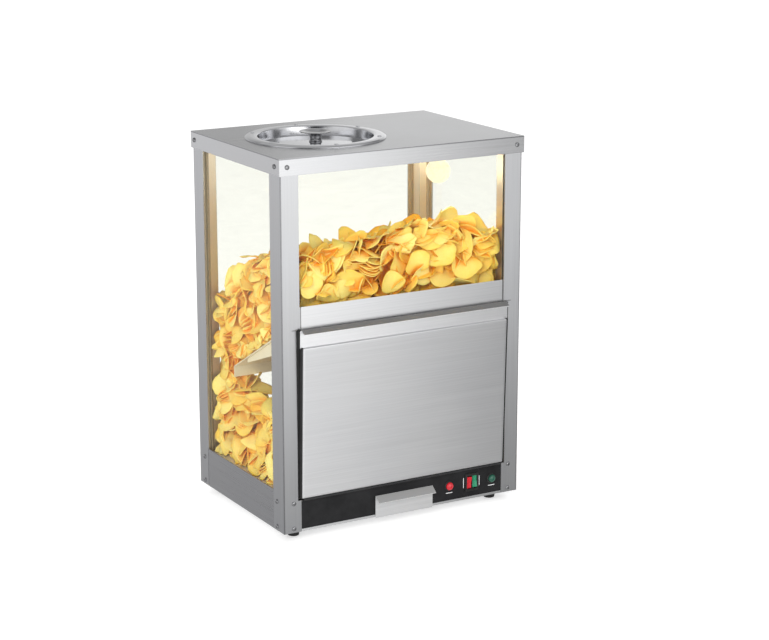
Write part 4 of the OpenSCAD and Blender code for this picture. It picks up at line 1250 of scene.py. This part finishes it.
def heaps():
    made = []
    # Front window.
    h = Heap("chips_front", 11)
    for u, v in spread(h.rng, 30, W - 30, 380, 470, 74, lambda s, z: z < up_top(s, 8) - 18):
        h.stack(FINE, (u, 15, v), (h.rng.normal(), -0.12, h.rng.normal() * 0.8), h.rng.integers(4, 7), 25, hug=(1, -1), depth=0.3)
    for layer, (gap, depth) in enumerate(((28, 0.3), (24, 9), (24, 19))):
        for u, v in spread(h.rng, 16, W - 16, 368, 520, gap, lambda s, z: z < up_top(s, 8) - 8):
            a, b = lean_of(u, v, 2.0 + layer)
            h.add(FINE, (u, 16, v), (a * 0.8, -1, b * 0.8 + 0.3), 0.38, 25.5, hug=(1, -1), depth=depth)
    # These crisps sit behind the front ones; their depth only darkens their tone, as painted shade.
    for u, v in spread(h.rng, 20, W - 20, 352, 440, 25, lambda s, z: z < up_top(s, 30) - 12):
        h.add(COARSE, (u, 44, v), (h.rng.normal() * 0.5, -1, h.rng.normal() * 0.5 + 0.3), 0.35, 25, depth=26)
    made.append(h.build())
    # Top of the heap, three deep.
    h = Heap("chips_top", 12)
    for layer, (gap, dz) in enumerate(((25, 2), (24, -9), (25, -19))):
        for u, v in spread(h.rng, 12, W - 12, 10, 308, gap, lambda s, t: t < 203 or wall_share(s) > 0.5):
            z = up_top(u, v) + dz
            e = 6.0
            gx = (up_top(u + e, v) - up_top(u - e, v)) / (2 * e)
            gy = (up_top(u, v + e) - up_top(u, v - e)) / (2 * e)
            a, b = lean_of(u, v, 5.0 + layer)
            n = (-gx + a * 0.55, -gy + b * 0.55, 1)
            h.add(FINE if v < 200 and layer < 2 else COARSE, (u, v, z), n, 0.42, 26.5)
    made.append(h.build())
    # Against the side panes, both bins and the chute between them.

    def side_ok(t, z, s):
        if t < 190 and shelf_top(t) - 4 < z < shelf_top(t) + 9:
            return False
        if t < 190 and z < shelf_top(t):
            return z < low_top(s, t) - 8
        if s < 100 and t > 238 and 202 < z < 258:
            return False
        return z < up_top(s, t) - 8
    for name, s, side, seed, tpl in (("chips_left", 6.0, -1, 13, FINE), ("chips_right", W - 6.0, 1, 14, COARSE)):
        h = Heap(name, seed)
        for u, v in spread(h.rng, 20, D - 20, 76, 440, 62, lambda t, z: side_ok(t, z, s) and side_ok(t, z + 14, s)):
            h.stack(tpl, (s, u, v), (side * 0.12, h.rng.normal() * 0.7, 0.5 + abs(h.rng.normal()) * 0.8), h.rng.integers(4, 7), 22, hug=(0, side), depth=0.3)
        for layer, (gap, depth) in enumerate(((27, 0.3), (24, 8), (25, 18))):
            for u, v in spread(h.rng, 12, D - 10, 68, 470, gap, lambda t, z: side_ok(t, z, s)):
                a, b = lean_of(u, v, 8.0 + layer + seed)
                h.add(tpl, (s, u, v), (side, a * 0.6, b * 0.6 + 0.55), 0.36, 23.5, hug=(0, side), depth=depth)
        for u, v in spread(h.rng, 246, 266, 72, 345, 14, lambda t, z: side_ok(t, z, s)):
            h.add(tpl, (s, u, v), (side, h.rng.normal() * 0.4, h.rng.normal() * 0.4 + 0.3), 0.3, 16.5, hug=(0, side), depth=h.rng.uniform(1, 12), tries=16)
        for u, v in spread(h.rng, 34, 262, 66, 80, 15, lambda t, z: True):
            h.add(tpl, (s, u, v), (side, h.rng.normal() * 0.4, h.rng.normal() * 0.4 + 0.4), 0.3, 15.5, hug=(0, side), depth=h.rng.uniform(1, 9), tries=16)
        # Small ones along the shelf's edge, and in the mouth of the chute.
        for k in range(70):
            u = h.rng.uniform(26, 186)
            h.add(tpl, (s, u, shelf_top(u) + h.rng.uniform(12, 20)), (side, h.rng.normal() * 0.4, h.rng.normal() * 0.4 + 0.4), 0.3,
                  h.rng.uniform(10, 14), hug=(0, side), depth=h.rng.uniform(0.4, 16), tries=12)
        for k in range(36):
            u, v = h.rng.uniform(194, 238), h.rng.uniform(205, 262)
            h.add(tpl, (s, u, v), (side, h.rng.normal() * 0.5, h.rng.normal() * 0.5 + 0.4), 0.35, h.rng.uniform(15, 19), hug=(0, side),
                  depth=h.rng.uniform(0.4, 14), tries=12)
        made.append(h.build())
    # Against the rear pane, low down.
    h = Heap("chips_rear", 15)
    for layer, (gap, depth) in enumerate(((27, 0.3), (27, 12))):
        for u, v in spread(h.rng, 20, W - 20, 70, 330, gap, lambda s, z: z < (low_top(s, 308) if wall_share(s) < 0.5 else up_top(s, 308)) - 8):
            a, b = lean_of(u, v, 12.0 + layer)
            h.add(COARSE, (u, D - 12, v), (a * 0.8, 1, b * 0.8 + 0.2), 0.38, 26, hug=(1, 1), depth=depth)
    made.append(h.build())
    # The lower heap's top and its slope behind the flap.
    h = Heap("chips_lower", 16)
    for layer, (gap, dz) in enumerate(((25, 2), (25, -9))):
        for u, v in spread(h.rng, 12, W - 12, 12, 308, gap, lambda s, t: t < 200 or wall_share(s) < 0.6):
            z = low_top(u, v) + dz
            e = 6.0
            gx = (low_top(u + e, v) - low_top(u - e, v)) / (2 * e)
            gy = (low_top(u, v + e) - low_top(u, v - e)) / (2 * e)
            a, b = lean_of(u, v, 15.0 + layer)
            # depth here only darkens these crisps' tone: painted shade.
            h.add(COARSE, (u, v, z), (-gx + a * 0.5, -gy + b * 0.5, 1), 0.4, 26, depth=9)
    for layer, (gap, depth) in enumerate(((27, 6), (27, 15))):
        for u, v in spread(h.rng, 30, W - 30, 68, 165, gap, lambda s, z: z < low_top(s, 12 + depth)):
            a, b = lean_of(u, v, 17.0 + layer)
            h.add(COARSE, (u, 14, v), (a * 0.8, -1, b * 0.8 + 0.4), 0.38, 25, hug=(1, -1), depth=depth)
    # The upper heap's rear slope, above the shelf's edge.
    for layer, off in enumerate((4, 14)):
        for u, v in spread(h.rng, 40, W - 40, 262, 440, 25, lambda s, z: True):
            tt = float(np.interp(v, [262, 320, 385, 425], [198, 186, 152, 118])) - off
            if v > up_top(u, tt - 20):
                continue
            a, b = lean_of(u, v, 19.0 + layer)
            h.add(COARSE, (u, tt, v), (a * 0.6, 1, 0.6 + b * 0.5), 0.4, 25)
    made.append(h.build())
    return made


heaps()


def core():
    """The insides of the two heaps, which show only as shade between the crisps."""
    upper = [(52, 326), (182, 260), (182, 296), (156, 334), (118, 382), (70, 402), (52, 400)]
    lower = [(50, 70), (286, 70), (286, 84), (150, 90), (70, 92), (56, 86)]
    for name, prof, rise in (("chips_core_upper", upper, 18), ("chips_core_lower", lower, 0)):
        ring = []
        for i, p in enumerate(prof):
            q = prof[(i + 1) % len(prof)]
            n = max(1, int(math.dist(p, q) / 8))
            ring += [(p[0] + (q[0] - p[0]) * k / n, p[1] + (q[1] - p[1]) * k / n) for k in range(n)]
        bm = bmesh.new()
        rows = []
        slices = 48
        for i in range(slices + 1):
            s = 30 + (W - 60) * i / slices
            up = rise * math.exp(-((s - 320) / 120) ** 2)
            rows.append([bm.verts.new((s, t, z + (up if z > 380 else 0))) for t, z in ring])
        n = len(ring)
        for a, b in zip(rows, rows[1:]):
            for k in range(n):
                bm.faces.new((a[k], a[(k + 1) % n], b[(k + 1) % n], b[k]))
        bm.faces.new(rows[0][::-1])
        bm.faces.new(rows[-1])
        bmesh.ops.triangulate(bm, faces=[f for f in bm.faces if len(f.verts) > 4])
        bmesh.ops.recalc_face_normals(bm, faces=bm.faces)
        bm.normal_update()
        moves = []
        for v in bm.verts:
            c = v.co
            k = noise.noise(Vector((c.x / 17, c.y / 17, c.z / 17))) * 4.0 + noise.noise(Vector((c.x / 7, c.y / 7, c.z / 7))) * 1.8 - 1.5
            moves.append(c + v.normal * k)
        for v, c in zip(bm.verts, moves):
            v.co = pt(*c)
        me = bpy.data.meshes.new(name)
        bm.to_mesh(me)
        bm.free()
        for f in me.polygons:
            f.use_smooth = True
        at = me.attributes.new("tone", "FLOAT", "POINT")
        at.data.foreach_set("value", np.full(len(me.vertices), 0.7, np.float32))
        me.materials.append(M["chip_core"])
        o = bpy.data.objects.new(name, me)
        scene.collection.objects.link(o)
        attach(o, "root")


core()


# ------------------------------------------------------------------ stage, lights, camera
def card(name, place, turn, size, across, up, strength):
    """A soft reflector, seen only in gloss. across and up are ramps over its two sides."""
    bm = bmesh.new()
    bmesh.ops.create_grid(bm, x_segments=2, y_segments=2, size=1)
    me = bpy.data.meshes.new(name)
    bm.to_mesh(me)
    bm.free()
    m, nt = new_mat(name)
    tc = node(nt, "ShaderNodeTexCoord")
    sep = node(nt, "ShaderNodeSeparateXYZ")
    link(nt, tc.outputs["Object"], sep.inputs[0])
    cols = []
    for i, stops in ((0, across), (1, up)):
        c = ramp(nt, maprange(nt, sep.outputs[i], -1, 1, 0, 1), [(p, (v,) * 3) for p, v in stops])
        cols.append(c)
    em = node(nt, "ShaderNodeEmission")
    link(nt, mixc(nt, 1.0, cols[0], cols[1], "MULTIPLY"), em.inputs["Color"])
    em.inputs["Strength"].default_value = strength
    out = node(nt, "ShaderNodeOutputMaterial")
    link(nt, em.outputs[0], out.inputs["Surface"])
    me.materials.append(m)
    r = bpy.data.objects.new(name, me)
    scene.collection.objects.link(r)
    r.location = place
    r.scale = (size[0], size[1], 1)
    r.rotation_euler = turn
    for k in ("visible_camera", "visible_diffuse", "visible_transmission", "visible_shadow", "visible_volume_scatter"):
        setattr(r, k, False)


def stage():
    bm = bmesh.new()
    bmesh.ops.create_grid(bm, x_segments=8, y_segments=8, size=30)
    me = bpy.data.meshes.new("studio_floor")
    bm.to_mesh(me)
    bm.free()
    m, nt = new_mat("floor_pale")
    n = noise_tex(nt, coords(nt), 2.0, 3)
    col = ramp(nt, n, [(0.3, (0.70, 0.70, 0.70)), (0.7, (0.72, 0.72, 0.72))])
    principled(nt, Base_Color=col, Roughness=0.9, Emission_Color=(1.0, 1.0, 1.0), Emission_Strength=0.5)
    me.materials.append(m)
    o = bpy.data.objects.new("studio_floor", me)
    scene.collection.objects.link(o)
    o.visible_glossy = False
    # Ahead of the cabinet: bright at the left and above, dim at the right and below.
    card("front_reflector", (0.65, -1.35, -0.40), (math.radians(90), 0, 0), (1.6, 1.15),
         [(0.0, 1.0), (0.36, 1.0), (0.44, 0.92), (0.52, 0.68), (0.60, 0.37), (0.70, 0.28), (1.0, 0.25)],
         [(0.0, 0.30), (0.42, 0.32), (0.50, 0.36), (0.56, 0.45), (0.66, 0.70), (0.74, 0.86), (0.80, 0.95), (0.88, 1.04), (1.0, 1.0)], 2.0)
    # Behind it, low over the roof's far side: dim at the left, bright at the right.
    card("rear_reflector", (0.75, 1.05, 0.92), (math.radians(90), 0, 0), (1.1, 0.5),
         [(0.0, 0.55), (0.30, 0.58), (0.42, 0.92), (0.6, 0.95), (1.0, 0.80)],
         [(0.0, 1.0), (0.4, 1.0), (0.7, 0.75), (1.0, 0.6)], 0.95)


stage()


def world():
    """Even light for matt surfaces, and a shaped surround that only gloss sees."""
    w = bpy.data.worlds.new("studio")
    scene.world = w
    w.use_nodes = True
    nt = w.node_tree
    nt.nodes.clear()
    tc = node(nt, "ShaderNodeTexCoord")
    sep = node(nt, "ShaderNodeSeparateXYZ")
    link(nt, tc.outputs["Generated"], sep.inputs[0])
    z = maprange(nt, sep.outputs[2], -1, 1, 0, 1)
    v = ramp(nt, z, [(0.0, (0.62,) * 3), (0.40, (0.74,) * 3), (0.56, (0.80,) * 3), (0.72, (0.46,) * 3), (1.0, (0.38,) * 3)])
    side = ramp(nt, z, [(0.0, (0.36, 0.36, 0.37)), (0.33, (0.43, 0.43, 0.44)), (0.37, (0.64, 0.635, 0.64)), (0.415, (1.0, 0.995, 1.01)),
                        (0.5, (1.08, 1.08, 1.09)), (0.7, (0.58, 0.58, 0.59)), (1.0, (0.38,) * 3)])
    for d, lo, hi, val in (((-0.55, 0.80, -0.15), 0.45, 0.90, side), ((0.9, 0.3, 0.1), 0.6, 0.97, (0.78, 0.78, 0.79))):
        dn = Vector(d).normalized()
        dot = node(nt, "ShaderNodeVectorMath", operation="DOT_PRODUCT")
        link(nt, tc.outputs["Generated"], dot.inputs[0])
        dot.inputs[1].default_value = tuple(dn)
        f = maprange(nt, dot.outputs["Value"], lo, hi, 0, 1)
        v = mixc(nt, f, v, val)
    # Upright flags round the upper part, which the spun lid shows as bands.
    around = maprange(nt, math_node(nt, "ARCTAN2", sep.outputs[0], math_node(nt, "MULTIPLY", sep.outputs[1], -1.0)), -math.pi, math.pi, 0, 1)
    flags = ramp(nt, around, [(p, (c,) * 3) for p, c in ((0.0, 0.55), (0.04, 0.30), (0.19, 0.22), (0.23, 1.0), (0.31, 1.0), (0.345, 0.22),
                              (0.43, 0.16), (0.47, 0.9), (0.52, 1.25), (0.63, 1.2), (0.67, 0.35), (0.80, 0.25), (0.88, 0.30), (0.93, 0.8), (1.0, 0.55))])
    high = maprange(nt, sep.outputs[2], 0.05, 0.14, 0.0, 1.0)
    low = maprange(nt, sep.outputs[2], 0.55, 0.85, 1.0, 0.0)
    v = mixc(nt, math_node(nt, "MULTIPLY", high, low), v, mixc(nt, 1.0, flags, (0.85, 0.85, 0.86), "MULTIPLY"))
    gloss = node(nt, "ShaderNodeBackground")
    link(nt, v, gloss.inputs["Color"])
    matt = node(nt, "ShaderNodeBackground")
    matt.inputs["Color"].default_value = (1.0, 1.0, 1.0, 1)
    matt.inputs["Strength"].default_value = 0.85
    path = node(nt, "ShaderNodeLightPath")
    mix = node(nt, "ShaderNodeMixShader")
    link(nt, path.outputs["Is Glossy Ray"], mix.inputs[0])
    link(nt, matt.outputs[0], mix.inputs[1])
    link(nt, gloss.outputs[0], mix.inputs[2])
    out = node(nt, "ShaderNodeOutputWorld")
    link(nt, mix.outputs[0], out.inputs["Surface"])


world()


def area(name, loc, target, size, power, colour=(1, 1, 1), glossy=False):
    l = bpy.data.lights.new(name, "AREA")
    l.shape = "RECTANGLE"
    l.size, l.size_y = size
    l.energy = power
    l.color = colour
    o = bpy.data.objects.new(name, l)
    scene.collection.objects.link(o)
    o.location = loc
    o.rotation_euler = (Vector(target) - Vector(loc)).to_track_quat("-Z", "Y").to_euler()
    o.visible_glossy = glossy
    return o


area("key", (-2.3, -2.6, 1.7), (0, 0, 0.3), (1.2, 1.2), 85, (1.0, 0.99, 0.97))
area("fill", (2.2, -1.8, 1.3), (0, 0, 0.3), (1.6, 1.6), 8)
area("back", (0.6, 2.6, 2.2), (0, 0, 0.4), (2.4, 1.2), 10)

lamp_light = bpy.data.lights.new("lamp_glow", "POINT")
lamp_light.energy = 0.95
lamp_light.color = (1.0, 0.91, 0.74)
lamp_light.shadow_soft_size = 0.018
lamp_light.specular_factor = 0.05
lo = bpy.data.objects.new("lamp_glow", lamp_light)
scene.collection.objects.link(lo)
lo.location = pt(374, 138, H - 74)

cam = bpy.data.cameras.new("photo_camera")
cam.sensor_width = 36
cam.lens = 2089.5 / 769 * 36
cam.clip_start, cam.clip_end = 0.05, 100
co = bpy.data.objects.new("photo_camera", cam)
scene.collection.objects.link(co)
co.location = (-1.6934, -3.0142, 1.1993)
co.rotation_euler = (math.pi / 2 - 0.2502, 0, -0.5245)
scene.camera = co
scene.view_settings.view_transform = "Standard"
